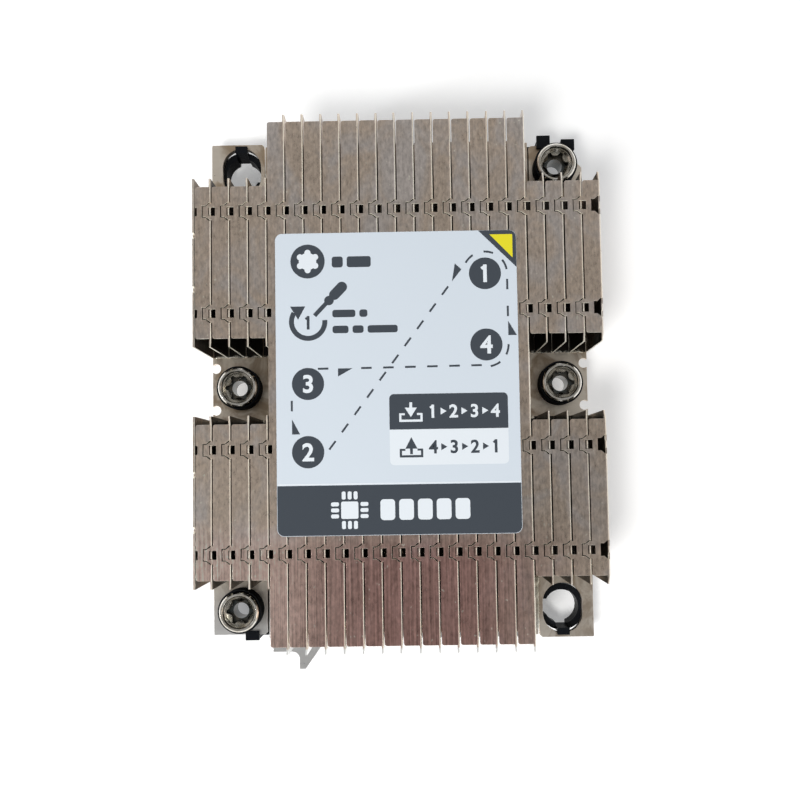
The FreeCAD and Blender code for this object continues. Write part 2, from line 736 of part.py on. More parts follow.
def add_snap_fingers(body, size):
    """Raise a finger through each guide hole, with a hook over the plate's top."""
    over_plate = size.carrier_drop + size.base_top
    inner = size.ring_bore / 2 + size.finger_setback
    for end, x, y in guide_places(size):
        finger = new_sketch(body)
        rectangle(finger, x - size.finger_width / 2, x + size.finger_width / 2,
                  y + inner * end, y + (inner + size.finger_thickness) * end)
        pad(body, finger, over_plate + size.hook_height)
        hook = new_sketch(body, level=over_plate + size.nut_float)
        rectangle(hook, x - size.finger_width / 2, x + size.finger_width / 2,
                  y + inner * end, y + (size.guide_length / 2 + size.hook_reach) * end)
        pad(body, hook, size.hook_height - size.nut_float)


def add_edge_latches(body, size, wall_inner, boss_outer):
    """Raise the latches that hook over the ends of the corner nuts' ears, on a sill below the ears."""
    height = size.carrier_drop + size.base_top + size.latch_rise
    inner_face = size.ear_end + size.flange_gap
    outer_face = inner_face + size.latch_arm
    guard = size.nut_y + (boss_outer - size.boss_wall / 2) * math.cos(math.radians(30))
    half = size.latch_width / 2
    beside = size.nut_x - size.latch_beside
    beyond = size.nut_x + size.latch_beyond

    sills = new_sketch(body)
    for end in (1, -1):
        rectangle(sills, wall_inner * end, (beside - half) * end,
                  (size.nut_y - SKETCH_MARGIN) * end, (size.ear_end + size.sill) * end)
    pad(body, sills, size.carrier_drop + size.chamber_depth)

    for end, middle, lever, hook in (
            (1, beside, size.long_lever, size.latch_hook),
            (1, beyond, size.short_lever, size.latch_hook * 1.6),
            (-1, beside, size.short_lever, size.latch_hook)):
        arm = new_sketch(body)
        rectangle(arm, (middle - half) * end, (middle + half) * end, inner_face * end, outer_face * end)
        pad(body, arm, height)
        foot = new_sketch(body)
        rectangle(foot, (middle - half) * end, (middle + half) * end, guard * end, outer_face * end)
        pad(body, foot, size.carrier_drop)
        head = new_sketch(body, level=height - size.latch_rise + size.nut_float)
        rectangle(head, (middle - half) * end, (middle + half) * end,
                  (size.ear_end - hook) * end, (size.ear_end + lever) * end)
        pad(body, head, size.latch_rise - size.nut_float)


def add_label(doc, size):
    """Cut the label that lies on the middle of the fins."""
    body = new_body(doc, "label", -size.label_left, -size.label_forward, size.fin_top)
    sheet = new_sketch(body)
    rectangle(sheet, -size.label_width / 2, size.label_width / 2,
              -size.label_length / 2, size.label_length / 2)
    pad(body, sheet, size.label_thickness)
    dress_edges(body, "Fillet", size.label_corner, FreeCAD.Vector(0, 0, 1), lambda point: True)


# --- The whole heatsink ---------------------------------------------------------------------------


def build():
    """Build every piece in one document."""
    doc = FreeCAD.newDocument("heatsink")
    sheet = doc.addObject("Spreadsheet::Sheet", "dims")
    size = Sizes(sheet, DRIVING_SIZES)
    doc.recompute()

    add_vapour_chamber(doc, size)
    add_mounting_plate(doc, size)
    add_fins(doc, size)
    for where, x, y in nut_places(size):
        add_collar(doc, size, where, x, y)
        add_nut(doc, size, where, x, y)
        add_clip(doc, size, where, x, y)
    add_carrier(doc, size)
    add_label(doc, size)
    doc.recompute()
    return doc


def check(doc):
    """Stop if any object failed or any piece has no sound solid."""
    for item in doc.Objects:
        if "Invalid" in item.State or "Error" in item.State:
            raise RuntimeError(f"{item.Label} failed: {item.State}")
    for body in doc.findObjects("PartDesign::Body"):
        if body.Shape.isNull() or not body.Shape.isValid():
            raise RuntimeError(f"{body.Label} has no valid shape")
        if len(body.Shape.Solids) != 1:
            raise RuntimeError(f"{body.Label} is {len(body.Shape.Solids)} solids, not one")


def export(doc):
    """Write each piece to a STEP file that carries its name."""
    os.makedirs("parts", exist_ok=True)
    for body in doc.findObjects("PartDesign::Body"):
        body.Shape.exportStep(os.path.join("parts", f"{body.Label}.step"))


heatsink = build()
check(heatsink)
export(heatsink)
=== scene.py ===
"""Looks of a low passive server heatsink, built around its packed construction model.

Everything is in metres and in the construction model's own frame: +Z up, away from the processor, +Y to
the rear along the fins, +X to the right, with the origin at the centre of the contact face.
"""

import logging
import math
from collections.abc import Callable, Sequence
from dataclasses import dataclass
from enum import Enum

import bmesh
import bpy
from mathutils import Matrix, Vector

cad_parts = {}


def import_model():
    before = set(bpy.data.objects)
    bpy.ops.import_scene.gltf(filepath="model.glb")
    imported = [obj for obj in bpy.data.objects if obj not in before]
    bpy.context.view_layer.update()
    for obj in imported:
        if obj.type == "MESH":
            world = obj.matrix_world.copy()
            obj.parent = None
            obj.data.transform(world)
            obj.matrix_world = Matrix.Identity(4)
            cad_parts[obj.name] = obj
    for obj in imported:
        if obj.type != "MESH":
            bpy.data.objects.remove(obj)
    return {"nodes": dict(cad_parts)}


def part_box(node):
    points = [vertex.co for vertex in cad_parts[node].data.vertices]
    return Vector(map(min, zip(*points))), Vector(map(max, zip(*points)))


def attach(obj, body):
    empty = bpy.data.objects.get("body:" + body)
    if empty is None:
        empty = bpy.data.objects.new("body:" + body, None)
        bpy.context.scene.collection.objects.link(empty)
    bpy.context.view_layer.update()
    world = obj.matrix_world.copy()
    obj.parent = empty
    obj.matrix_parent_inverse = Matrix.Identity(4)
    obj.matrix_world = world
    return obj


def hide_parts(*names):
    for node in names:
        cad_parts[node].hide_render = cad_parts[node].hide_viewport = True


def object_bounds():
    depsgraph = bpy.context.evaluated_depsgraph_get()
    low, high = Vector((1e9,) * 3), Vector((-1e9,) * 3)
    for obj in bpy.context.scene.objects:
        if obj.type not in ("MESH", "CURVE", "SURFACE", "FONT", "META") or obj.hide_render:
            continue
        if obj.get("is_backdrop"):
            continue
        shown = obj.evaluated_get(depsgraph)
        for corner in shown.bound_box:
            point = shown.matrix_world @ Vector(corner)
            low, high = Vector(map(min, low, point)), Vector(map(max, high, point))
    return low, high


LOG = logging.getLogger("heatsink")
MM = 0.001
TINY = 0.02 * MM  # slack when points are picked by their place
SAME = 1e-7  # points closer than this are one point
SHARP = math.radians(35)  # edges sharper than this are broken
BODY = "heatsink"
SCREWS = ("rear_right", "front_left", "left", "right")

Colour = tuple[float, float, float]


def mm(x: float, y: float, z: float) -> Vector:
    """Give a place in millimetres as a vector in metres."""
    return Vector((x, y, z)) * MM


# --- Shader graphs --------------------------------------------------------------------------------


class Signal:
    """A number that varies over a surface, worked on with Python's operators."""

    def __init__(self, graph: "Graph", socket: bpy.types.NodeSocket) -> None:
        """Wrap an output socket of a graph."""
        self.graph = graph
        self.socket = socket

    def _math(self, operation: str, first: "Signal | float", second: "Signal | float") -> "Signal":
        """Add one Math node."""
        node = self.graph.node("ShaderNodeMath", {"operation": operation}, {0: first, 1: second})
        return Signal(self.graph, node.outputs[0])

    def __add__(self, other: "Signal | float") -> "Signal":
        """Add."""
        return self._math("ADD", self, other)

    def __radd__(self, other: float) -> "Signal":
        """Add to a number."""
        return self._math("ADD", other, self)

    def __sub__(self, other: "Signal | float") -> "Signal":
        """Subtract."""
        return self._math("SUBTRACT", self, other)

    def __rsub__(self, other: float) -> "Signal":
        """Subtract from a number."""
        return self._math("SUBTRACT", other, self)

    def __mul__(self, other: "Signal | float") -> "Signal":
        """Multiply."""
        return self._math("MULTIPLY", self, other)

    def __rmul__(self, other: float) -> "Signal":
        """Multiply a number."""
        return self._math("MULTIPLY", other, self)

    def __abs__(self) -> "Signal":
        """Drop the sign."""
        return self._math("ABSOLUTE", self, 0.0)

    def step(self, low: float, high: float) -> "Signal":
        """Rise smoothly from 0 at the low value to 1 at the high one.

        Args:
            low: Value at which the result is 0.
            high: Value at which the result is 1.

        Returns:
            The mask.
        """
        node = self.graph.node("ShaderNodeMapRange", {"interpolation_type": "SMOOTHSTEP"},
                               {"Value": self, "From Min": low, "From Max": high})
        return Signal(self.graph, node.outputs["Result"])


class Graph:
    """The node graph of one material, or of the world."""

    def __init__(self, name: str, world: bool = False) -> None:
        """Start an empty material or world."""
        self.owner = (bpy.data.worlds if world else bpy.data.materials).new(name)
        self.owner.use_nodes = True
        self.tree = self.owner.node_tree
        self.tree.nodes.clear()
        self.coordinates = self.node("ShaderNodeTexCoord")

    @property
    def place(self) -> bpy.types.NodeSocket:
        """Place on the piece, in metres."""
        return self.coordinates.outputs["Object"]

    def node(self, kind: str, settings: dict | None = None,
             sockets: dict | None = None) -> bpy.types.Node:
        """Add a node, set it up and connect it.

        Args:
            kind: The node's type.
            settings: Attributes to set first. A ramp's stops are a list of position and colour.
            sockets: Values, sockets or signals by the input's number, identifier or name.

        Returns:
            The node.
        """
        node = self.tree.nodes.new(kind)
        for key, value in (settings or {}).items():
            if key == "stops":
                elements = node.color_ramp.elements
                while len(elements) < len(value):
                    elements.new(0.5)
                for element, (position, colour) in zip(elements, value):
                    element.position = position
                    element.color = (*colour, 1.0)
            else:
                setattr(node, key, value)
        for key, value in (sockets or {}).items():
            target = self._input(node, key)
            if isinstance(value, Signal):
                value = value.socket
            if isinstance(value, bpy.types.NodeSocket):
                self.tree.links.new(value, target)
            elif target.type == "RGBA" and len(value) == 3:
                target.default_value = (*value, 1.0)
            else:
                target.default_value = value
        return node

    @staticmethod
    def _input(node: bpy.types.Node, key: int | str) -> bpy.types.NodeSocket:
        """Find an input by its number, identifier or name."""
        if isinstance(key, int):
            return node.inputs[key]
        by_identifier = [socket for socket in node.inputs if socket.identifier == key]
        return by_identifier[0] if by_identifier else node.inputs[key]

    def axis(self, name: str) -> Signal:
        """Give one coordinate of the surface, in metres."""
        return Signal(self, self.node("ShaderNodeSeparateXYZ", None, {0: self.place}).outputs[name])

    def facing(self, name: str) -> Signal:
        """Give one component of the surface's normal."""
        normal = self.node("ShaderNodeNewGeometry").outputs["Normal"]
        return Signal(self, self.node("ShaderNodeSeparateXYZ", None, {0: normal}).outputs[name])

    def noise(self, per_metre: tuple[float, float, float], detail: float = 3.0,
              roughness: float = 0.55, distortion: float = 0.0) -> Signal:
        """Give soft noise, stretched by a different scale along each axis.

        Args:
            per_metre: Features in a metre, along X, Y and Z.
            detail: Octaves of finer noise.
            roughness: Strength of the finer octaves.
            distortion: How far the noise is warped.

        Returns:
            Noise about 0.5.
        """
        stretched = self.node("ShaderNodeMapping", None, {"Vector": self.place, "Scale": per_metre})
        node = self.node("ShaderNodeTexNoise", None,
                         {"Vector": stretched.outputs[0], "Scale": 1.0, "Detail": detail,
                          "Roughness": roughness, "Distortion": distortion})
        return Signal(self, node.outputs[0])

    def mix(self, factor: Signal | float, first: object, second: object, way: str = "MIX") -> object:
        """Blend two colours.

        Args:
            factor: Share of the second colour.
            first: A colour or a colour socket.
            second: A colour or a colour socket.
            way: The blend type.

        Returns:
            The blended colour's socket.
        """
        node = self.node("ShaderNodeMix", {"data_type": "RGBA", "blend_type": way},
                         {"Factor_Float": factor, "A_Color": first, "B_Color": second})
        return [socket for socket in node.outputs if socket.identifier == "Result_Color"][0]

    def bump(self, height: Signal, distance: float, strength: float) -> bpy.types.NodeSocket:
        """Turn a height into a normal, with its relief in metres."""
        node = self.node("ShaderNodeBump", None,
                         {"Height": height, "Distance": distance, "Strength": strength})
        return node.outputs[0]

    def blend(self, factor: Signal, first: bpy.types.NodeSocket,
              second: bpy.types.NodeSocket) -> bpy.types.NodeSocket:
        """Blend two shaders."""
        return self.node("ShaderNodeMixShader", None, {0: factor, 1: first, 2: second}).outputs[0]

    def principled(self, **sockets: object) -> bpy.types.NodeSocket:
        """Add a principled shader.

        Args:
            **sockets: Its inputs, with underscores for spaces.

        Returns:
            The shader's socket.
        """
        named = {key.replace("_", " "): value for key, value in sockets.items()}
        return self.node("ShaderNodeBsdfPrincipled", None, named).outputs[0]

    def end(self, shader: bpy.types.NodeSocket) -> bpy.types.Material:
        """Make a shader the surface and give the material."""
        self.node("ShaderNodeOutputMaterial", None, {"Surface": shader})
        return self.owner


# --- Finishes -------------------------------------------------------------------------------------


@dataclass(frozen=True)
class NickelSheet:
    """Thin nickel plated sheet, drawn lengthwise, reddish at the front, with painted light and shade.
    """

    colour: Colour = (0.77, 0.63, 0.51)
    cool: Colour = (0.66, 0.595, 0.55)
    # Cream of the painted highlights on folds and edges, and of the painted glints.
    edge: Colour = (0.97, 0.93, 0.80)
    # Reddish tint towards the front, and its lighter left end, which is painted light.
    heated: Colour = (0.52, 0.29, 0.255)
    warm: Colour = (0.98, 0.72, 0.62)
    # Painted shade deep between the fins.
    depth: Colour = (0.070, 0.062, 0.054)
    bright: Colour = (0.93, 0.93, 0.91)
    heated_from: float = -26.0
    heated_to: float = -37.0
    flange_run: tuple[float, float] = (7.45, 41.45)
    block_run: tuple[float, float] = (5.5, 43.5)
    all_fins: tuple[float, float] = (-40.5, 40.5)
    long_fins: tuple[float, float] = (-22.3, 25.7)

    def material(self) -> bpy.types.Material:
        """Build the material."""
        graph = Graph("nickel_sheet")
        streaks = graph.noise((2600.0, 45.0, 45.0), detail=4.0)
        grain = graph.noise((1500.0, 700.0, 900.0), detail=3.0, roughness=0.7)
        patches = graph.noise((110.0, 75.0, 60.0), detail=4.0, distortion=0.8)
        # Small bright specks on the up faces: painted glints.
        painted_glints = graph.noise((1300.0, 900.0, 1300.0), detail=1.0).step(0.70, 0.78)
        x, y, z = (graph.axis(name) for name in "XYZ")
        up = graph.facing("Z").step(0.75, 0.95)
        side = graph.facing("X")
        wall = (side * side).step(0.5, 0.8)
        inner = self._between_fins(x, y, z)
        # Reddish tint on the up faces towards the front, fading out to the right.
        front_tint_share = (1.0 - y.step(self.heated_to * MM, self.heated_from * MM)) * up
        front_tint_share = front_tint_share * (1.0 - x.step(11 * MM, 41 * MM))
        # The tint is lighter at the left than at the right: painted light.
        heated = graph.mix(x.step(-34 * MM, -2 * MM), self.warm, self.heated)
        # Painted light: brighter at the front left, darker at the front right.
        front = (1.0 - y.step(-20 * MM, 5 * MM)) * y.step(-38 * MM, -28 * MM)
        painted_light_gradient = front * (0.18 - x.step(-40 * MM, 40 * MM) * 0.33)
        colour = graph.mix(patches.step(0.38, 0.66), self.colour, self.cool)
        colour = graph.mix(front_tint_share * 0.92, colour, heated)
        colour = graph.mix(painted_glints * up * 0.6, colour, self.edge)
        tone = ((grain - 0.5) * 1.0 + (patches - 0.5) * 0.4 + (streaks - 0.5) * 0.35
                + (streaks - 0.5) * front_tint_share * 1.5 + painted_light_gradient + 1.0)
        colour = graph.mix(1.0, colour, self._grey(graph, tone), "MULTIPLY")
        # Painted highlight: faces that are neither up nor sideways (folds, bevels, ends) are cream and
        # less metallic.
        edge_highlight = (1.0 - up) * (1.0 - wall)
        colour = graph.mix(edge_highlight, colour, self.edge)
        # Painted shade on the walls and floors deep between the fins.
        slot_floor = up * (1.0 - z.step(12 * MM, 16 * MM))
        colour = graph.mix((wall + slot_floor) * inner, colour, self.depth)
        colour = graph.mix(1.0 - y.step(-53.2 * MM, -52.7 * MM), colour, self.bright)
        rough = 0.32 + (grain - 0.5) * 0.2 + (patches - 0.5) * 0.16
        relief = graph.bump(streaks * 0.5 + grain * 0.5, 0.004 * MM, 0.6)
        return graph.end(graph.principled(Base_Color=colour, Metallic=1.0 - edge_highlight * 0.75, Roughness=rough,
                                          Normal=relief))

    def _between_fins(self, x: Signal, y: Signal, z: Signal) -> Signal:
        """Mask the depths between the fins, where no light falls on the walls.

        Args:
            x: Place across the fins.
            y: Place along them.
            z: Place up from the processor.

        Returns:
            The mask.
        """
        covered = self._within(abs(y), *self.flange_run)
        beside = self._within(abs(y), *self.block_run)
        middle = self._within(x, *self.long_fins)
        narrow = middle * (1.0 - abs(y).step(45 * MM, 53 * MM) * 0.8)
        tips = (beside - covered) * (1.0 - middle)
        seams = z.step(23.6 * MM, 25.4 * MM) * (1.0 - tips) * 0.7
        return (self._within(x, *self.all_fins) * beside + narrow * (1.0 - beside)) * (1.0 - seams)

    @staticmethod
    def _within(place: Signal, low: float, high: float) -> Signal:
        """Mask the places between two limits in millimetres."""
        edge = 0.1
        rise = place.step(low * MM, (low + edge) * MM)
        return rise * (1.0 - place.step(high * MM, (high + edge) * MM))

    @staticmethod
    def _grey(graph: Graph, tone: Signal) -> bpy.types.NodeSocket:
        """Turn a number into a grey of that brightness."""
        return graph.node("ShaderNodeCombineColor", None, {0: tone, 1: tone, 2: tone}).outputs[0]


@dataclass(frozen=True)
class SatinPlating:
    """Satin nickel plating with faint smears, painted lighter towards the front left as painted light.
    """

    name: str
    colour: Colour
    stain: Colour
    roughness: float = 0.38
    clean: Colour = (0.97, 0.96, 0.94)

    def material(self) -> bpy.types.Material:
        """Build the material."""
        graph = Graph(self.name)
        grain = graph.noise((1500.0, 1500.0, 1500.0), detail=3.0)
        smears = graph.noise((160.0, 110.0, 160.0), detail=5.0, distortion=0.8)
        up = graph.facing("Z").step(0.3, 0.8)
        lines = graph.noise((60.0, 2400.0, 60.0), detail=2.0)
        colour = graph.mix(smears.step(0.40, 0.62) * (up * 0.85 + 0.15), self.colour, self.stain)
        # Painted light: lighter towards the front, most at the left.
        front = 1.0 - graph.axis("Y").step(-55 * MM, -38 * MM)
        left = 1.0 - graph.axis("X").step(-20 * MM, 20 * MM) * 0.8
        colour = graph.mix(front * left, colour, self.clean)
        rough = self.roughness + (smears - 0.5) * 0.25 + (grain - 0.5) * 0.12 + (lines - 0.5) * 0.2
        normal = graph.bump(grain * 0.5 + lines * 0.5, 0.006 * MM, 0.5)
        return graph.end(graph.principled(Base_Color=colour, Metallic=1.0, Roughness=rough,
                                          Normal=normal))


@dataclass(frozen=True)
class TurnedSteel:
    """Turned steel, plated."""

    name: str
    colour: Colour
    stain: Colour
    roughness: float

    def material(self) -> bpy.types.Material:
        """Build the material."""
        graph = Graph(self.name)
        wear = graph.noise((500.0, 500.0, 700.0), detail=4.0, distortion=0.5)
        rings = graph.noise((60.0, 60.0, 6000.0), detail=2.0)
        colour = graph.mix(wear.step(0.42, 0.7), self.colour, self.stain)
        rough = self.roughness + (wear - 0.4) * 0.2 + (rings - 0.5) * 0.1
        relief = graph.bump(rings, 0.004 * MM, 0.4)
        return graph.end(graph.principled(Base_Color=colour, Metallic=1.0, Roughness=rough,
                                          Normal=relief))


@dataclass(frozen=True)
class BlackMoulding:
    """Black moulded plastic, whose upright walls reflect less than its open faces, as painted shade."""

    name: str
    roughness: float
    colour: Colour = (0.005, 0.006, 0.008)
    dusty: Colour = (0.016, 0.018, 0.022)

    def material(self) -> bpy.types.Material:
        """Build the material."""
        graph = Graph(self.name)
        grain = graph.noise((2200.0, 2200.0, 2200.0), detail=2.0)
        dust = graph.noise((240.0, 240.0, 240.0), detail=4.0)
        colour = graph.mix(dust.step(0.5, 0.8), self.colour, self.dusty)
        rough = self.roughness + (dust - 0.5) * 0.2
        normal = graph.bump(grain, 0.01 * MM, 0.4)
        # Painted shade: upright walls get a weaker reflection, as if shaded.
        wall = 1.0 - abs(graph.facing("Z")).step(0.15, 0.5)
        face, side = (graph.principled(Base_Color=colour, Roughness=rough, IOR=gloss, Normal=normal)
                      for gloss in (1.25, 1.03))
        return graph.end(graph.blend(wall, face, side))


@dataclass(frozen=True)
class Ink:
    """One printed colour under the label's gloss film."""

    name: str
    colour: Colour

    def material(self) -> bpy.types.Material:
        """Build the material."""
        graph = Graph(self.name)
        cloud = graph.noise((40.0, 40.0, 40.0), detail=2.0)
        dark = tuple(channel * 0.96 for channel in self.colour)
        colour = graph.mix(cloud, self.colour, dark)
        waves = graph.noise((120.0, 60.0, 60.0), detail=2.0)
        rough = 0.34 + (cloud - 0.5) * 0.06
        return graph.end(graph.principled(Base_Color=colour, Roughness=rough, Coat_Weight=0.25,
                                          Coat_Roughness=0.15,
                                          Normal=graph.bump(waves, 0.01 * MM, 0.3)))


# --- Modelling ------------------------------------------------------------------------------------


class Pick(Enum):
    """What a selection is made of."""

    POINTS = "VERT"
    EDGES = "EDGE"
    FACES = "FACE"


class Workpiece:
    """One mesh on the bench, worked with Blender's own operators."""

    def __init__(self, piece: bpy.types.Object, name: str) -> None:
        """Take a new object onto the bench, in edit mode with all of it selected."""
        self.piece = piece
        piece.name = name
        piece.data.name = name
        self._select_only(piece)
        bpy.ops.object.mode_set(mode="EDIT")
        bpy.ops.mesh.select_all(action="SELECT")

    @staticmethod
    def _select_only(piece: bpy.types.Object) -> None:
        """Leave edit mode and select one object alone."""
        active = bpy.context.view_layer.objects.active
        if active is not None and active.mode == "EDIT":
            bpy.ops.object.mode_set(mode="OBJECT")
        bpy.ops.object.select_all(action="DESELECT")
        piece.select_set(True)
        bpy.context.view_layer.objects.active = piece

    @classmethod
    def slab(cls, name: str, low: Vector, high: Vector) -> "Workpiece":
        """Start from a cube stretched between two corners."""
        bpy.ops.object.select_all(action="DESELECT")
        bpy.ops.mesh.primitive_cube_add(size=1.0)
        work = cls(bpy.context.object, name)
        return work.resize(high - low).move((low + high) / 2)

    @classmethod
    def sheet(cls, name: str, low: Vector, high: Vector) -> "Workpiece":
        """Start from a flat rectangle between two corners at the low corner's height."""
        bpy.ops.object.select_all(action="DESELECT")
        bpy.ops.mesh.primitive_plane_add(size=1.0)
        work = cls(bpy.context.object, name)
        size = high - low
        middle = (low + high) / 2
        return work.resize(Vector((size.x, size.y, 1.0))).move(Vector((middle.x, middle.y, low.z)))

    @classmethod
    def ring(cls, name: str, radius: float, z: float, sides: int,
             filled: bool = False) -> "Workpiece":
        """Start from a circle round the Z axis."""
        bpy.ops.object.select_all(action="DESELECT")
        bpy.ops.mesh.primitive_circle_add(vertices=sides, radius=radius, location=(0.0, 0.0, z),
                                          fill_type="NGON" if filled else "NOTHING")
        bpy.ops.object.transform_apply(location=True, rotation=False, scale=False)
        return cls(bpy.context.object, name)

    @classmethod
    def turned(cls, name: str, profile: Sequence[tuple[float, float]], sides: int) -> "Workpiece":
        """Turn a closed profile of radius and height round the Z axis.

        Args:
            name: Name of the piece.
            profile: Corners of the section, in order.
            sides: Number of facets round the axis.

        Returns:
            The turned piece.
        """
        radius, height = profile[0]
        work = cls.ring(name, radius, height, sides)
        for next_radius, next_height in list(profile[1:]) + [profile[0]]:
            bpy.ops.mesh.extrude_region_move(
                TRANSFORM_OT_translate={"value": (0.0, 0.0, next_height - height)})
            share = next_radius / radius
            work.resize(Vector((share, share, 1.0)))
            radius, height = next_radius, next_height
        return work.merge(SAME).outwards()

    @classmethod
    def rounded(cls, name: str, low: Vector, high: Vector, corner: float,
                wanted: Callable[[Vector], bool] = lambda p: True) -> "Workpiece":
        """Start from a flat rectangle at the low corner's height, with round corners where wanted."""
        work = cls.sheet(name, low, high)
        return work.pick(Pick.POINTS, wanted).bevel(corner, 6, points=True)

    @classmethod
    def polygon(cls, name: str, corners: Sequence[Vector]) -> "Workpiece":
        """Start from a flat polygon, by dragging each corner of a regular one to its place."""
        work = cls.ring(name, 1.0, 0.0, len(corners), filled=True)
        mesh = bmesh.from_edit_mesh(work.piece.data)
        starts = [point.co.copy() for point in mesh.verts]
        starts.sort(key=lambda start: math.atan2(start.y, start.x))
        for start, corner in zip(starts, corners):
            work.pick(Pick.POINTS, lambda p: (p - start).length < TINY).move(corner - start)
        return work.outwards()

    @classmethod
    def arc(cls, name: str, radius: float, stroke: float, begin: float, end: float) -> "Workpiece":
        """Start from a flat band along an arc round the Z axis.

        Args:
            name: Name of the piece.
            radius: Radius of the band's middle.
            stroke: Width of the band.
            begin: Angle of its start in degrees.
            end: Angle of its end in degrees, less than a turn further.

        Returns:
            The band, at height zero.
        """
        sides = 144
        work = cls.ring(name, radius + stroke / 2, 0.0, sides)
        slack = 180.0 / sides
        sweep = end - begin
        work.pick(Pick.POINTS, lambda p: (math.degrees(math.atan2(p.y, p.x)) - begin + slack) % 360
                  > sweep + 2 * slack)
        work.remove(Pick.POINTS).pick_all().extrude(Vector())
        share = (radius - stroke / 2) / (radius + stroke / 2)
        return work.resize(Vector((share, share, 1.0)))

    @classmethod
    def copy_of(cls, source: bpy.types.Object, name: str) -> "Workpiece":
        """Start from a copy of another object's mesh."""
        piece = bpy.data.objects.new(name, source.data.copy())
        piece.data.materials.clear()
        bpy.context.scene.collection.objects.link(piece)
        return cls(piece, name)

    @classmethod
    def clean_copy(cls, node: bpy.types.Object, name: str) -> "Workpiece":
        """Start from a copy of a construction solid, merged and with its flat faces whole."""
        work = cls.copy_of(node, name)
        work.merge(SAME)
        bpy.ops.mesh.customdata_custom_splitnormals_clear()
        bpy.ops.mesh.mark_sharp(clear=True)
        return work.flatten(0.5)

    def pick(self, kind: Pick, wanted: Callable[[Vector], bool]) -> "Workpiece":
        """Select the points, edges or faces whose middle passes a test."""
        bpy.context.tool_settings.mesh_select_mode = tuple(kind is choice for choice in Pick)
        mesh = bmesh.from_edit_mesh(self.piece.data)
        mesh.select_mode = {kind.value}
        for group in (mesh.verts, mesh.edges, mesh.faces):
            for element in group:
                element.select = False
        if kind is Pick.POINTS:
            chosen = [point for point in mesh.verts if wanted(point.co)]
        elif kind is Pick.EDGES:
            chosen = [edge for edge in mesh.edges
                      if wanted((edge.verts[0].co + edge.verts[1].co) / 2)]
        else:
            chosen = [face for face in mesh.faces if wanted(face.calc_center_median())]
        for element in chosen:
            element.select_set(True)
        mesh.select_flush_mode()
        bmesh.update_edit_mesh(self.piece.data)
        return self

    def pick_sharp(self, wanted: Callable[[Vector], bool]) -> "Workpiece":
        """Select the sharp edges whose middle passes a test."""
        self.pick(Pick.EDGES, wanted)
        mesh = bmesh.from_edit_mesh(self.piece.data)
        for edge in mesh.edges:
            if edge.select and edge.calc_face_angle(0.0) < SHARP:
                edge.select_set(False)
        bmesh.update_edit_mesh(self.piece.data)
        return self

    def pick_all(self) -> "Workpiece":
        """Select everything."""
        bpy.ops.mesh.select_all(action="SELECT")
        return self

    def extrude(self, by: Vector) -> "Workpiece":
        """Extrude the selection and move the new part."""
        bpy.ops.mesh.extrude_region_move(TRANSFORM_OT_translate={"value": by})
        return self

    def move(self, by: Vector) -> "Workpiece":
        """Move the selection."""
        bpy.ops.transform.translate(value=by)
        return self

    def resize(self, factor: Vector, about: Vector | None = None) -> "Workpiece":
        """Scale the selection about a point, or about the origin."""
        bpy.ops.transform.resize(value=factor, center_override=about or Vector())
        return self

    def turn(self, angle: float) -> "Workpiece":
        """Turn the selection counter-clockwise about the Z axis."""
        bpy.ops.transform.rotate(value=-angle, orient_axis="Z", center_override=Vector())
        return self

    def cut(self, point: Vector, normal: Vector) -> "Workpiece":
        """Split the selected faces along a plane."""
        bpy.ops.mesh.bisect(plane_co=point, plane_no=normal, threshold=1e-6)
        return self

    def remove(self, kind: Pick) -> "Workpiece":
        """Delete the selection."""
        bpy.ops.mesh.delete(type=kind.value)
        return self

    def bevel(self, width: float, segments: int, points: bool = False) -> "Workpiece":
        """Round the selected edges or corner points."""
        bpy.ops.mesh.bevel(offset=width, segments=segments, affect="VERTICES" if points else "EDGES",
                           clamp_overlap=True)
        return self

    def merge(self, distance: float = 0.002 * MM) -> "Workpiece":
        """Merge points that lie together."""
        bpy.ops.mesh.select_all(action="SELECT")
        bpy.ops.mesh.remove_doubles(threshold=distance)
        return self

    def flatten(self, angle: float) -> "Workpiece":
        """Make the selected faces whole that lie within a small angle in degrees."""
        bpy.ops.mesh.dissolve_limited(angle_limit=math.radians(angle))
        return self

    def outwards(self) -> "Workpiece":
        """Turn every face outwards."""
        bpy.ops.mesh.select_all(action="SELECT")
        bpy.ops.mesh.normals_make_consistent(inside=False)
        return self

    def modify(self, kind: str, **settings: object) -> "Workpiece":
        """Add a modifier, set it up and apply it."""
        self._select_only(self.piece)
        modifier = self.piece.modifiers.new(kind.lower(), kind)
        for key, value in settings.items():
            setattr(modifier, key, value)
        bpy.ops.object.modifier_apply(modifier=modifier.name)
        bpy.ops.object.mode_set(mode="EDIT")
        return self

    def soften(self, width: float, segments: int = 2) -> "Workpiece":
        """Break every sharp edge by a small bevel."""
        return self.modify("BEVEL", width=width, segments=segments, limit_method="ANGLE",
                           angle_limit=SHARP, use_clamp_overlap=True)

    def join(self, others: Sequence["Workpiece"]) -> "Workpiece":
        """Join other pieces into this one."""
        self._select_only(self.piece)
        for other in others:
            other.piece.select_set(True)
        bpy.ops.object.join()
        bpy.ops.object.mode_set(mode="EDIT")
        return self

    def rest(self) -> bpy.types.Object:
        """Take the piece off the bench without dressing it."""
        if self.piece.mode == "EDIT":
            bpy.ops.object.mode_set(mode="OBJECT")
        return self.piece

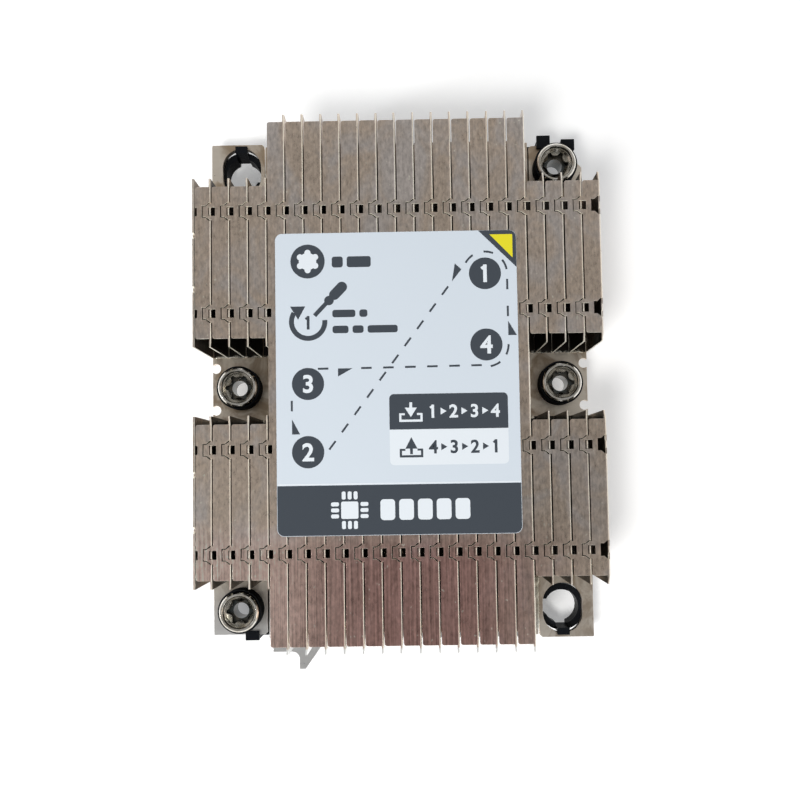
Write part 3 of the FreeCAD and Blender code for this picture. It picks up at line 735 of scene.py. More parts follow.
    def finish(self, material: bpy.types.Material, slot: str, body: str = BODY,
               replaces: Sequence[str] = (), smooth: float = 32.0) -> bpy.types.Object:
        """Dress the finished piece and hang it on its body.

        Args:
            material: What it is made of.
            slot: The record's material slot; not used.
            body: The body that it moves with.
            replaces: Construction solids that it stands for.
            smooth: Angle up to which faces shade smoothly, in degrees.

        Returns:
            The piece.
        """
        piece = self.rest()
        self._select_only(piece)
        bpy.ops.object.shade_smooth_by_angle(angle=math.radians(smooth))
        self.modify("WEIGHTED_NORMAL", keep_sharp=True)
        self.rest()
        if len(piece.data.materials) == 0:
            piece.data.materials.append(material)
        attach(piece, body)
        if replaces:
            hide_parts(*replaces)
        LOG.info("%s: %d faces, rides on %s", piece.name, len(piece.data.polygons), body)
        return piece


# --- Fins -----------------------------------------------------------------------------------------


@dataclass(frozen=True)
class FoldedFin:
    """One kind of folded fin, built round the middle of its web at the origin. Sizes in millimetres."""

    name: str
    length: float
    tip: float
    locks: tuple[float, ...]
    reach: float = 3.38
    tongues: bool = True
    height: float = 21.0
    sheet: float = 0.4
    gauge: float = 0.32
    pitch: float = 3.73
    fold: float = 0.27
    root: float = 1.7
    nose: float = 1.05
    shoulder: float = 1.0
    tongue: float = 1.5
    play: float = 0.2
    window: float = 0.9
    window_depth: float = 1.0
    half_window: float = 0.4
    corner: float = 0.4
    burr: float = 0.11
    stretch: float = 6.0

    def build(self) -> Workpiece:
        """Fold the sheet, cut its locks and give it its thickness."""
        work = self._folded_sheet()
        self._score(work)
        self._set_flange_back(work)
        if self.tongues:
            self._draw_tongues(work)
        else:
            self._notch_edge(work)
        self._cut_windows(work)
        work.merge()
        work.modify("SOLIDIFY", thickness=self.gauge * MM, offset=0.0)
        work.outwards().pick(Pick.FACES, lambda p: self._lock_of(p) < self.root + 0.6).flatten(1.0)
        surface = (self.flange_level + self.gauge / 2) * MM - TINY
        return work.pick_sharp(lambda p: p.z > surface).bevel(self.burr * MM, 2)

    @property
    def flange_level(self) -> float:
        """Height of the middle of the top flange."""
        return self.height - self.sheet / 2

    def _folded_sheet(self) -> Workpiece:
        """Draw the flange, extrude the web and the foot from it, and round the two folds."""
        half = self.length / 2
        top = self.flange_level
        work = Workpiece.sheet(self.name, mm(-self.reach, -half, top), mm(0, half, top))
        work.pick(Pick.EDGES, lambda p: p.x > -TINY).extrude(mm(0, 0, self.sheet - self.height))
        work.pick(Pick.EDGES, lambda p: p.z < self.sheet * MM).extrude(mm(-self.reach, 0, 0))
        work.pick(Pick.EDGES, lambda p: abs(p.x) < TINY
                  and (p.z > top * MM - TINY or p.z < self.sheet * MM))
        return work.bevel(self.fold * MM, 4)

    def _score(self, work: Workpiece) -> None:
        """Split the sheet where its edges, locks and gentle waves need points."""
        across = Vector((0, 1, 0))
        steps = int(self.length / self.stretch)
        for step in range(1, steps):
            place = -self.length / 2 + self.length * step / steps
            work.pick_all().cut(mm(0, place, 0), across)
        work.pick_all().cut(mm(0, 0, self.flange_level - self.sheet / 2), Vector((0, 0, 1)))
        level = (self.flange_level - self.sheet / 2) * MM
        lines = [side * (self.length / 2 - self.tip) for side in (1, -1)]
        for lock in self.locks:
            for offset in (self.root, self.root + self.play, self.nose, self.nose + self.play,
                           self.window, self.window - self.play):
                lines += [lock + offset, lock - offset]
        for line in lines:
            work.pick(Pick.FACES, lambda p: p.z > level).cut(mm(0, line, 0), across)

    def _set_flange_back(self, work: Workpiece) -> None:
        """Trim the flange's ends and chamfer its free corners."""
        end = (self.length / 2 - self.tip) * MM
        top = self.flange_level * MM - TINY
        work.pick(Pick.FACES, lambda p: abs(p.y) > end and p.x < -self.fold * MM and p.z > top)
        work.remove(Pick.FACES)
        work.pick(Pick.POINTS, lambda p: abs(abs(p.y) - end) < TINY and p.x < -self.reach * MM + TINY
                  and p.z > top)
        work.bevel(self.corner * MM, 2, points=True)

    def _lock_of(self, place: Vector) -> float:
        """Give the distance along the fin to the nearest lock, in millimetres."""
        return min(abs(place.y / MM - lock) for lock in self.locks)

    def _draw_tongues(self, work: Workpiece) -> None:
        """Draw the tongues out of the flange's edge, tapered from root to nose."""
        top = self.flange_level * MM - TINY
        edge = -self.reach * MM
        work.pick(Pick.EDGES, lambda p: abs(p.x - edge) < TINY and p.z > top
                  and self._lock_of(p) < self.root)
        work.extrude(mm(self.reach - self.pitch, 0, 0)).extrude(mm(-self.shoulder, 0, 0))
        shoulder = -(self.pitch + self.shoulder) * MM
        for lock in self.locks:
            for side in (1, -1):
                line = lock + side * self.nose
                work.pick(Pick.POINTS, lambda p: abs(p.x - shoulder) < TINY and p.z > top
                          and 0 < (p.y / MM - line) * side < self.root)
                work.resize(Vector((1, 0, 1)), mm(0, line, 0))
        work.merge()
        work.pick(Pick.EDGES, lambda p: abs(p.x - shoulder) < TINY and p.z > top)
        work.extrude(mm(self.shoulder - self.tongue, 0, 0))

    def _notch_edge(self, work: Workpiece) -> None:
        """Cut the half windows in the free edge of a fin that has no tongues."""
        top = self.flange_level * MM - TINY
        line = self.half_window - self.reach
        work.pick(Pick.FACES, lambda p: p.z > top and self._lock_of(p) < self.root + 0.5)
        work.cut(mm(line, 0, 0), Vector((1, 0, 0)))
        work.pick(Pick.FACES, lambda p: p.z > top and p.x < line * MM
                  and self._lock_of(p) < self.window)
        work.remove(Pick.FACES)

    def _cut_windows(self, work: Workpiece) -> None:
        """Cut each tongue's window and the flange's own cut-out round its nib of web."""
        top = self.flange_level * MM - TINY
        lips = (-self.shoulder, -self.tongue - self.play, self.window_depth - self.pitch,
                -self.pitch - self.sheet / 2 - self.play)
        for line in lips:
            work.pick(Pick.FACES, lambda p: p.z > top and self._lock_of(p) < self.root + 0.5)
            work.cut(mm(line, 0, 0), Vector((1, 0, 0)))
        if self.tongues:
            work.pick(Pick.FACES, lambda p: p.z > top and self._lock_of(p) < self.window
                      and lips[3] * MM < p.x < lips[2] * MM)
            work.remove(Pick.FACES)
        cut_root = self.root + self.play
        cut_nose = self.nose + self.play
        nib = self.window - self.play
        work.pick(Pick.FACES, lambda p: p.z > top and p.x < -self.fold * MM
                  and (self._lock_of(p) < cut_root and p.x > lips[0] * MM
                       or self._lock_of(p) < cut_nose and p.x > lips[1] * MM))
        work.remove(Pick.FACES)
        work.pick(Pick.FACES, lambda p: p.z > (self.height - self.sheet) * MM
                  and p.x > -self.fold * MM and nib < self._lock_of(p) < cut_root)
        work.remove(Pick.FACES)
        for lock in self.locks:
            for side in (1, -1):
                line = lock + side * cut_nose
                work.pick(Pick.POINTS, lambda p: abs(p.x - lips[0] * MM) < TINY and p.z > top
                          and cut_nose - 0.01 < (p.y / MM - lock) * side < cut_root + 0.01)
                work.resize(Vector((1, 0, 1)), mm(0, line, 0))


@dataclass
class FinStack:
    """All the fins and the two end plates."""

    nodes: dict[str, bpy.types.Object]
    material: bpy.types.Material
    wall: float
    side_locks: tuple[float, ...] = (-10.35, 10.35)
    long_locks: tuple[float, ...] = (-34.35, -13.65, 13.65, 34.35)
    long_length: float = 108.0
    long_tip: float = 1.5
    side_length: float = 34.2
    side_tip: float = 1.7
    first_reach: float = 3.08
    wander: float = 0.10
    tip_wander: float = 0.45

    def build(self) -> None:
        """Model each kind of fin once and put a copy at every fin's place."""
        kinds = {
            "long": FoldedFin("fin_long", self.long_length, self.long_tip, self.long_locks),
            "side": FoldedFin("fin_side", self.side_length, self.side_tip, self.side_locks),
            "first": FoldedFin("fin_first", self.side_length, self.side_tip, self.side_locks,
                               reach=self.first_reach, tongues=False),
        }
        masters = {key: kind.build().rest() for key, kind in kinds.items()}
        for name in sorted(self.nodes):
            if not name.startswith("fin_"):
                continue
            key = "long" if "long" in name else "first" if name.endswith("left_1") else "side"
            self._place(name, masters[key], kinds[key])
        for master in masters.values():
            bpy.data.objects.remove(master)
        for name in ("end_plate_rear_left", "end_plate_front_left"):
            work = Workpiece.clean_copy(self.nodes[name], f"{name}_sheet")
            work.soften(0.05 * MM, 1).finish(self.material, "fin_sheet", replaces=[name])

    def _place(self, name: str, master: bpy.types.Object, kind: FoldedFin) -> None:
        """Copy a fin to its place and give it the small waves of thin sheet."""
        low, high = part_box(name)
        calm = 1.0 if high.x > self.wall - TINY else 0.5
        middle = (low.y + high.y) / 2
        end = (high.y - low.y) / 2 - kind.tip * MM
        work = Workpiece.copy_of(master, f"{name}_sheet")
        work.pick_all().move(Vector((high.x - kind.sheet / 2 * MM, middle, low.z)))
        self._wave(work, "wander", self.wander, 0.011, calm, lambda p: True)
        self._wave(work, "tips", self.tip_wander, 0.0032, calm,
                   lambda p: abs(p.y - middle) > end + 0.5 * MM and p.z > high.z - 9 * MM)
        work.finish(self.material, "fin_sheet", replaces=[name])

    @staticmethod
    def _wave(work: Workpiece, name: str, strength: float, scale: float, calm: float,
              wanted: Callable[[Vector], bool]) -> None:
        """Push part of a fin sideways by smooth noise.

        Args:
            work: The fin.
            name: Name of the group of points that move.
            strength: Full swing in millimetres.
            scale: Size of the waves in metres.
            calm: Noise that moves nothing: 0.5 swings both ways, 1 only to the left.
            wanted: Test of the points that move.
        """
        texture = bpy.data.textures.get(name) or bpy.data.textures.new(name, "CLOUDS")
        texture.noise_scale = scale
        group = work.piece.vertex_groups.new(name=name)
        work.pick(Pick.POINTS, wanted)
        bpy.ops.object.vertex_group_assign()
        work.modify("DISPLACE", texture=texture, strength=strength * MM, direction="X",
                    vertex_group=group.name, texture_coords="LOCAL", mid_level=calm)


# --- Plate, chamber, nuts and carrier -------------------------------------------------------------


@dataclass
class Castings:
    """Pieces that keep their construction shape and get broken edges."""

    nodes: dict[str, bpy.types.Object]

    def dress(self, name: str, material: bpy.types.Material, slot: str, edge: float,
              body: str = BODY) -> None:
        """Copy a solid, break its edges and let the copy stand for it.

        Args:
            name: The construction solid.
            material: What it is made of.
            slot: The record's material slot.
            edge: Width of the broken edges in millimetres.
            body: The body that it moves with.
        """
        work = Workpiece.clean_copy(self.nodes[name], f"{name}_finished")
        work.soften(edge * MM, 2).finish(material, slot, body, [name])


@dataclass
class CaptiveNuts:
    """The four captive nuts with their six-lobe drives. Sizes in millimetres, from the plate's top."""

    bright: bpy.types.Material
    # Dark steel for the nuts' recesses: painted shade.
    dull: bpy.types.Material
    head: float = 4.2
    rise: float = 6.3
    rim_bore: float = 3.4
    rim_depth: float = 1.2
    bore: float = 1.65
    shank: float = 3.1
    shank_end: float = -3.9
    groove: float = 2.6
    points: float = 2.8
    lobe: float = 0.45
    flute: float = 1.28
    drive_depth: float = 2.6
    sides: int = 72

    def build(self) -> None:
        """Model one nut, then put a copy in each ear and beside each middle block."""
        master = self._master()
        for where in SCREWS:
            low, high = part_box(f"nut_{where}")
            work = Workpiece.copy_of(master, f"nut_{where}_turned")
            base = high.z - self.rise * MM
            work.move(Vector(((low.x + high.x) / 2, (low.y + high.y) / 2, base)))
            self._dull_inside(work, ((low + high) / 2).xy, base)
            work.finish(self.bright, "nut", f"screw_{where}", [f"nut_{where}"])
        bpy.data.objects.remove(master)

    @property
    def seat(self) -> float:
        """Height of the seat inside the rim."""
        return self.rise - self.rim_depth

    def _master(self) -> bpy.types.Object:
        """Turn the nut round the Z axis, broach its drive and break its edges."""
        top, seat = self.rise, self.seat
        profile = [
            (self.bore, self.shank_end + 0.3), (self.bore + 0.3, self.shank_end),
            (self.shank - 0.25, self.shank_end), (self.shank, self.shank_end + 0.25),
            (self.shank, -2.8), (self.groove, -2.8), (self.groove, -2.1), (self.shank, -2.1),
            (self.shank, 0.12), (self.head - 0.15, 0.12), (self.head, 0.27),
            (self.head, top - 0.45), (self.head - 0.12, top - 0.18), (self.head - 0.35, top),
            (self.rim_bore + 0.12, top), (self.rim_bore, top - 0.12), (self.rim_bore, seat + 0.3),
            (self.rim_bore - 0.06, seat + 0.18), (self.rim_bore - 0.3, seat - 0.05),
            (self.bore + 0.2, seat - 1.25), (self.bore, seat - 1.5),
        ]
        turned = Workpiece.turned("nut_master", [(r * MM, z * MM) for r, z in profile], self.sides)
        turned.rest()
        cutter = self._drive_cutter(seat)
        turned.modify("BOOLEAN", operation="DIFFERENCE", object=cutter, solver="EXACT").merge()
        turned.soften(0.06 * MM, 2).merge().rest()
        bpy.data.objects.remove(cutter)
        return turned.piece

    def _dull_inside(self, nut: Workpiece, axis: Vector, base: float) -> None:
        """Give the counterbore's wall, the drive's walls and the bore a dark steel as painted shade."""
        def within(p: Vector) -> bool:
            reach = (p.xy - axis).length / MM
            level = (p.z - base) / MM
            wall = reach > self.rim_bore - 0.06 and self.seat + 0.28 < level < self.rise - 0.2
            shade = self.seat - 0.2 - (self.rim_bore - reach) * 0.75
            return reach < self.rim_bore + 0.02 and (wall or level < shade - 0.3)

        nut.pick(Pick.FACES, within)
        for material in (self.bright, self.dull):
            nut.piece.data.materials.append(material)
        nut.piece.active_material_index = 1
        bpy.ops.object.material_slot_assign()

    def _drive_cutter(self, seat: float) -> bpy.types.Object:
        """Build the six-lobe broach: a round bar with six round flutes cut along it."""
        foot = seat - self.drive_depth
        bar = Workpiece.ring("broach", self.points * MM, foot * MM, 96, filled=True)
        bar.extrude(mm(0, 0, self.drive_depth + 1.0)).outwards().rest()
        across = self.lobe + self.flute
        lobe_centre = self.points - self.lobe
        reach = lobe_centre * math.sqrt(3) / 2 + math.sqrt(across**2 - (lobe_centre / 2) ** 2)
        for turn in range(6):
            angle = math.radians(60 * turn + 30)
            flute = Workpiece.ring("flute", self.flute * MM, (foot - 1) * MM, 40, filled=True)
            flute.extrude(mm(0, 0, self.drive_depth + 3)).outwards()
            flute.pick_all().move(mm(reach * math.cos(angle), reach * math.sin(angle), 0)).rest()
            bar.modify("BOOLEAN", operation="DIFFERENCE", object=flute.piece, solver="EXACT").rest()
            bpy.data.objects.remove(flute.piece)
        return bar.piece


# --- Label ----------------------------------------------------------------------------------------


class Sheet:
    """Everything that one ink prints on the label, in millimetres from the label's centre."""

    def __init__(self, name: str, ink: bpy.types.Material, centre: Vector, level: float,
                 film: float) -> None:
        """Start a print.

        Args:
            name: Name of the printed piece.
            ink: Its material.
            centre: Centre of the label, in metres.
            level: Height of the print's upper face, in metres.
            film: Thickness of the print, in millimetres.
        """
        self.name = name
        self.ink = ink
        self.centre = centre
        self.level = level
        self.film = film
        self.marks: list[Workpiece] = []

    def _add(self, work: Workpiece, x: float = 0.0, y: float = 0.0) -> Workpiece:
        """Give a flat mark its thickness and put it in its place."""
        work.pick_all().extrude(mm(0, 0, -self.film))
        overlap = len(self.marks) % 8 * 0.05 * self.film * MM
        shift = Vector((self.centre.x + x * MM, self.centre.y + y * MM, self.level - overlap))
        work.pick_all().move(shift).outwards().rest()
        self.marks.append(work)
        return work

    def disc(self, x: float, y: float, radius: float) -> None:
        """Print a disc."""
        self._add(Workpiece.ring(self.name, radius * MM, 0.0, 64, filled=True), x, y)

    def arc(self, x: float, y: float, radius: float, stroke: float, begin: float, end: float) -> None:
        """Print a band along an arc."""
        self._add(Workpiece.arc(self.name, radius * MM, stroke * MM, begin, end), x, y)

    def box(self, x: float, y: float, width: float, height: float, corner: float = 0.0,
            wanted: Callable[[Vector], bool] = lambda p: True) -> None:
        """Print a rectangle about its centre, with round corners where wanted."""
        low, high = mm(-width / 2, -height / 2, 0), mm(width / 2, height / 2, 0)
        if corner > 0:
            self._add(Workpiece.rounded(self.name, low, high, corner * MM, wanted), x, y)
        else:
            self._add(Workpiece.sheet(self.name, low, high), x, y)

    def bar(self, start: tuple[float, float], end: tuple[float, float], stroke: float) -> None:
        """Print a straight stroke between two points."""
        length = math.dist(start, end)
        work = Workpiece.sheet(self.name, mm(-length / 2, -stroke / 2, 0),
                               mm(length / 2, stroke / 2, 0))
        work.turn(math.atan2(end[1] - start[1], end[0] - start[0]))
        self._add(work, (start[0] + end[0]) / 2, (start[1] + end[1]) / 2)

    def polygon(self, *corners: tuple[float, float]) -> None:
        """Print a filled polygon."""
        self._add(Workpiece.polygon(self.name, [mm(x, y, 0) for x, y in corners]))

    def numeral(self, digit: int, x: float, y: float, height: float) -> None:
        """Print a plain numeral about its centre."""
        bpy.ops.object.select_all(action="DESELECT")
        bpy.ops.object.text_add()
        text = bpy.context.object
        text.data.body = str(digit)
        text.data.size = height * MM / 0.73
        text.data.offset = height * MM * 0.035
        text.data.resolution_u = 6
        text.data.fill_mode = "FRONT"
        bpy.ops.object.convert(target="MESH")
        bpy.ops.object.transform_apply(location=False)
        work = Workpiece(bpy.context.object, self.name)
        corners = [Vector(corner) for corner in work.piece.bound_box]
        middle = sum(corners, Vector()) / len(corners)
        work.pick_all().move(Vector((-middle.x, -middle.y, 0.0)))
        work.merge(0.022 * height * MM)
        bpy.ops.mesh.dissolve_degenerate(threshold=0.002 * MM)
        work.pick_all().flatten(1.0)
        self._add(work, x, y)
        if digit == 1:
            self.bar((x + 0.02 * height, y + 0.42 * height), (x - 0.2 * height, y + 0.27 * height),
                     0.17 * height)

    def dashes(self, start: tuple[float, float], end: tuple[float, float], dash: float,
               stroke: float) -> None:
        """Print a dashed line whose gaps are as long as its dashes."""
        length = math.dist(start, end)
        count = max(1, round((length / dash + 1) / 2))
        pitch = (length - dash) / (count - 1) if count > 1 else 0.0
        for number in range(count):
            here, there = (number * pitch / length, (number * pitch + dash) / length)
            self.bar(self._between(start, end, here), self._between(start, end, there), stroke)

    @staticmethod
    def _between(start: tuple[float, float], end: tuple[float, float],
                 share: float) -> tuple[float, float]:
        """Give the point a share of the way along a line."""
        return (start[0] + (end[0] - start[0]) * share, start[1] + (end[1] - start[1]) * share)

    def finish(self) -> None:
        """Join all the marks into one dressed piece."""
        first = self.marks[0].join(self.marks[1:])
        first.outwards().finish(self.ink, "label")


@dataclass
class Label:
    """The label: a pale sheet with the order of tightening drawn on it. Sizes in millimetres."""

    film: float = 0.02
    disc: float = 3.2
    loop: float = 4.4
    stroke: float = 0.4
    dash: float = 2.1
    first: tuple[float, float] = (17.8, 21.5)
    fourth: tuple[float, float] = (17.8, 7.2)
    third: tuple[float, float] = (-17.8, -0.1)
    second: tuple[float, float] = (-17.9, -13.65)
    key_ring: tuple[float, float] = (-17.65, 24.5)
    turn_ring: tuple[float, float] = (-17.65, 12.35)
    box_left: float = -1.7
    box_right: float = 21.8
    box_row: float = 7.05
    box_top: float = -2.4
    band_top: float = -20.2

    def build(self) -> None:
        """Lay the sheet, then print it dark, then light and yellow over the dark."""
        low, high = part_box("label")
        centre = (low + high) / 2
        top = high.z - 2.5 * self.film * MM
        pale = Ink("label_pale", (0.64, 0.705, 0.775)).material()
        dark = Ink("ink_dark", (0.046, 0.056, 0.070)).material()
        light = Ink("ink_light", (0.76, 0.81, 0.86)).material()
        yellow = Ink("ink_yellow", (0.78, 0.70, 0.022)).material()
        sheet = Workpiece.rounded("label_sheet", low, high, 1.4 * MM)
        sheet.pick_all().extrude(Vector((0, 0, top - low.z))).outwards()
        sheet.finish(pale, "label", replaces=["label"])
        dark_sheet = Sheet("label_dark_print", dark, centre, top + self.film * MM, self.film)
        self._print_key(dark_sheet)
        self._print_path(dark_sheet)
        self._print_fields(dark_sheet)
        dark_sheet.finish()
        light_sheet = Sheet("label_light_print", light, centre, top + 2 * self.film * MM,
                            2 * self.film)
        self._print_light(light_sheet)
        light_sheet.finish()
        box = Sheet("label_box_print", light, centre, top + 0.5 * self.film * MM, 0.5 * self.film)
        box.box((self.box_left + self.box_right) / 2, self.box_top - self.box_row * 1.5,
                self.box_right - self.box_left, self.box_row, 0.9, lambda p: p.y < 0)
        box.finish()
        mark = Sheet("label_yellow_print", yellow, centre, top + 2 * self.film * MM, 2 * self.film)
        mark.polygon((self.half.x - 5.3, self.half.y - 0.85), (self.half.x - 0.75, self.half.y - 5.6),
                     (self.half.x - 0.75, self.half.y - 0.85))
        mark.finish()

    @property
    def half(self) -> Vector:
        """Half of the label's size."""
        low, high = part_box("label")
        return (high - low) / 2 / MM

    def _print_key(self, ink: Sheet) -> None:
        """Print the drive's symbol, the turning arrow, the screwdriver and bars for writing."""
        ink.disc(*self.key_ring, 3.43)
        x, y = self.turn_ring
        ink.arc(x, y, 3.33, 1.0, 148, 365)
        ink.polygon((x - 2.0, y + 0.45), (x - 0.55, y + 3.1), (x - 3.6, y + 3.1))
        ink.numeral(1, x, y - 0.2, 2.7)
        ink.bar((x + 1.3, y + 1.2), (x + 4.2, y + 4.25), 0.85)
        ink.disc(x + 4.2, y + 4.2, 0.95)
        ink.bar((x + 4.2, y + 4.25), (x + 5.4, y + 5.5), 1.3)
        ink.bar((x + 5.2, y + 5.25), (x + 6.9, y + 7.0), 2.1)
        ink.disc(x + 5.3, y + 5.35, 1.05)
        ink.disc(x + 6.8, y + 6.9, 1.05)
        for row, widths in ((24.3, (2.2, 4.8)), (13.9, (4.6, 1.6)), (10.7, (3.2, 2.2, 6.0))):
            place = -12.8
            for width in widths:
                ink.box(place + width / 2, row, width, 1.5 if row < 20 else 2.2, 0.5)
                place += width + 0.8

    def _print_path(self, ink: Sheet) -> None:
        """Print the numbered discs and the dashed path between them."""
        for place in (self.first, self.second, self.third, self.fourth):
            ink.disc(*place, self.disc)
        right = self.first[0] + self.loop
        low = self.fourth[1] - self.loop + 0.3
        left = self.third[0] - self.loop * 0.74
        step = math.degrees(self.dash / self.loop)
        for x, y, begin, end in ((*self.first, 10, 150), (*self.fourth, -80, 0)):
            count = int((end - begin) / step / 2) + 1
            for number in range(count):
                angle = begin + number * (end - begin - step) / max(1, count - 1)
                ink.arc(x, y, self.loop, self.stroke, angle, angle + step)
        ink.dashes((right, self.first[1] - 1.2), (right, 12.8), self.dash, self.stroke)
        ink.dashes((self.fourth[0] - 1.0, low), (-7.2, low - 0.2), self.dash, self.stroke)
        ink.dashes((-13.7, low - 0.2), (-15.8, low - 0.2), self.dash, self.stroke)
        ink.dashes((left, -3.4), (left, -5.5), self.dash, self.stroke)
        ink.dashes((-13.7, -13.2), (10.4, 19.0), self.dash, self.stroke)
        ink.polygon((right, 11.9), (right, 9.0), (right + 1.7, 9.0))
        ink.polygon((-11.8, low - 0.2), (-11.8, low - 1.8), (-8.9, low - 0.2))
        ink.polygon((left, -7.1), (left, -10.1), (left + 1.6, -10.1))
        ink.polygon((11.2, 20.0), (13.1, 22.4), (11.8, 23.6))

    def _print_fields(self, ink: Sheet) -> None:
        """Print the dark corner, the dark box, the second box's signs and the band at the front."""
        half = self.half
        ink.polygon((half.x - 7.55, half.y - 0.03), (half.x - 0.03, half.y - 7.5),
                    (half.x - 0.03, half.y - 1.4), (half.x - 0.17, half.y - 0.8),
                    (half.x - 0.45, half.y - 0.45), (half.x - 0.8, half.y - 0.17),
                    (half.x - 1.4, half.y - 0.03))
        width = self.box_right - self.box_left
        middle = (self.box_left + self.box_right) / 2
        ink.box(middle, self.box_top - self.box_row / 2, width, self.box_row, 0.9, lambda p: p.y > 0)
        self._order(ink, self.box_top - self.box_row * 1.5, (4, 3, 2, 1), True)
        depth = half.y + self.band_top
        ink.box(0.0, depth / 2 - half.y, 2 * half.x - 0.16, depth - 0.16, 1.35, lambda p: p.y < 0)

    def _order(self, ink: Sheet, row: float, digits: Sequence[int], upwards: bool) -> None:
        """Print one row of the box: a tray with an arrow, and the order of the screws."""
        x = self.box_left + 4.25
        ink.bar((x - 2.1, row - 0.4), (x - 2.1, row - 1.9), 0.45)
        ink.bar((x + 2.1, row - 0.4), (x + 2.1, row - 1.9), 0.45)
        ink.bar((x - 2.3, row - 1.8), (x + 2.3, row - 1.8), 0.45)
        ink.bar((x - 2.3, row - 0.5), (x - 1.2, row - 0.5), 0.4)
        ink.bar((x + 1.2, row - 0.5), (x + 2.3, row - 0.5), 0.4)
        if upwards:
            ink.bar((x, row - 1.4), (x, row - 0.2), 0.55)
            ink.polygon((x - 1.2, row - 0.3), (x + 1.2, row - 0.3), (x, row + 2.0))
        else:
            ink.bar((x, row + 0.65), (x, row + 1.85), 0.55)
            ink.polygon((x, row - 1.1), (x + 1.2, row + 0.8), (x - 1.2, row + 0.8))
        for place, digit in enumerate(digits):
            column = self.box_left + 8.6 + 4.13 * place
            ink.numeral(digit, column, row, 2.6)
            if place < 3:
                ink.polygon((column + 1.55, row - 0.7), (column + 2.75, row),
                            (column + 1.55, row + 0.7))

    def _print_light(self, ink: Sheet) -> None:
        """Print what is light on a dark ground."""
        for digit, place in enumerate((self.first, self.second, self.third, self.fourth), start=1):
            ink.numeral(digit, *place, 3.55)
        x, y = self.key_ring
        ink.disc(x, y, 1.75)
        for turn in range(6):
            angle = math.radians(60 * turn + 30)
            ink.disc(x + 1.75 * math.cos(angle), y + 1.75 * math.sin(angle), 0.62)
        self._order(ink, self.box_top - self.box_row / 2, (1, 2, 3, 4), False)
        row = (self.band_top - self.half.y) / 2
        ink.box(-9.8, row, 3.4, 3.4, 0.35)
        for side in (1, -1):
            for pin in (-1, 0, 1):
                ink.box(-9.8 + 2.9 * side, row + 1.18 * pin, 1.58, 0.78, 0.3)
                ink.box(-9.8 + 1.18 * pin, row + 2.9 * side, 0.78, 1.58, 0.3)
        for letter in range(5):
            ink.box(-2.3 + 3.7 * letter, row, 2.9, 4.1, 0.7)
        ink.box(0.0, self.band_top + 0.15, 2 * self.half.x - 0.3, 0.3)


# --- Solder ---------------------------------------------------------------------------------------


@dataclass
class Solder:
    """Ragged beads of solder along the fins' feet. Sizes in millimetres."""

    material: bpy.types.Material
    height: float = 0.5
    width: float = 0.55
    lap: float = 0.15
    rough: float = 0.55
    slice: float = 0.45

    def build(self) -> None:
        """Run a bead along the inner ends of the side blocks and beside the last long fin."""
        for row, end in (("rear", 1), ("front", -1)):
            for side in ("left", "right"):
                first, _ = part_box(f"fin_{row}_{side}_1")
                low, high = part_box(f"fin_{row}_{side}_4")
                across = (min(first.x, low.x) + 0.4 * MM, high.x - 0.6 * MM)
                along = ((low.y - self.lap * MM, low.y + self.width * MM) if end > 0
                         else (high.y - self.width * MM, high.y + self.lap * MM))
                self._bead(f"solder_{row}_{side}", across, along, low.z)
        low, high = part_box("fin_long_14")
        block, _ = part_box("fin_front_right_1")
        self._bead("solder_front_ear", (high.x + 1.2 * MM, high.x + 3.1 * MM),
                   (low.y + 1.4 * MM, block.y - 0.2 * MM), low.z)

    def _bead(self, name: str, across: tuple[float, float], along: tuple[float, float],
              base: float) -> None:
        """Lay one bead and make its surface lumpy."""
        low = Vector((across[0], along[0], base - 0.05 * MM))
        high = Vector((across[1], along[1], base + self.height * MM))
        work = Workpiece.slab(name, low, high)
        size = high - low
        length, normal = ((size.x, Vector((1, 0, 0))) if size.x > size.y
                          else (size.y, Vector((0, 1, 0))))
        count = int(length / (self.slice * MM))
        for step in range(1, count):
            work.pick_all().cut(low + normal * length * step / count, normal)
        work.pick_all()
        bpy.ops.mesh.subdivide(number_cuts=1)
        texture = bpy.data.textures.get("lumps") or bpy.data.textures.new("lumps", "CLOUDS")
        texture.noise_scale = 0.0011
        work.modify("DISPLACE", texture=texture, strength=self.rough * MM, texture_coords="LOCAL",
                    mid_level=0.75)
        work.modify("SUBSURF", levels=1)
        work.finish(self.material, "fin_sheet", smooth=60.0)


# --- Studio ---------------------------------------------------------------------------------------


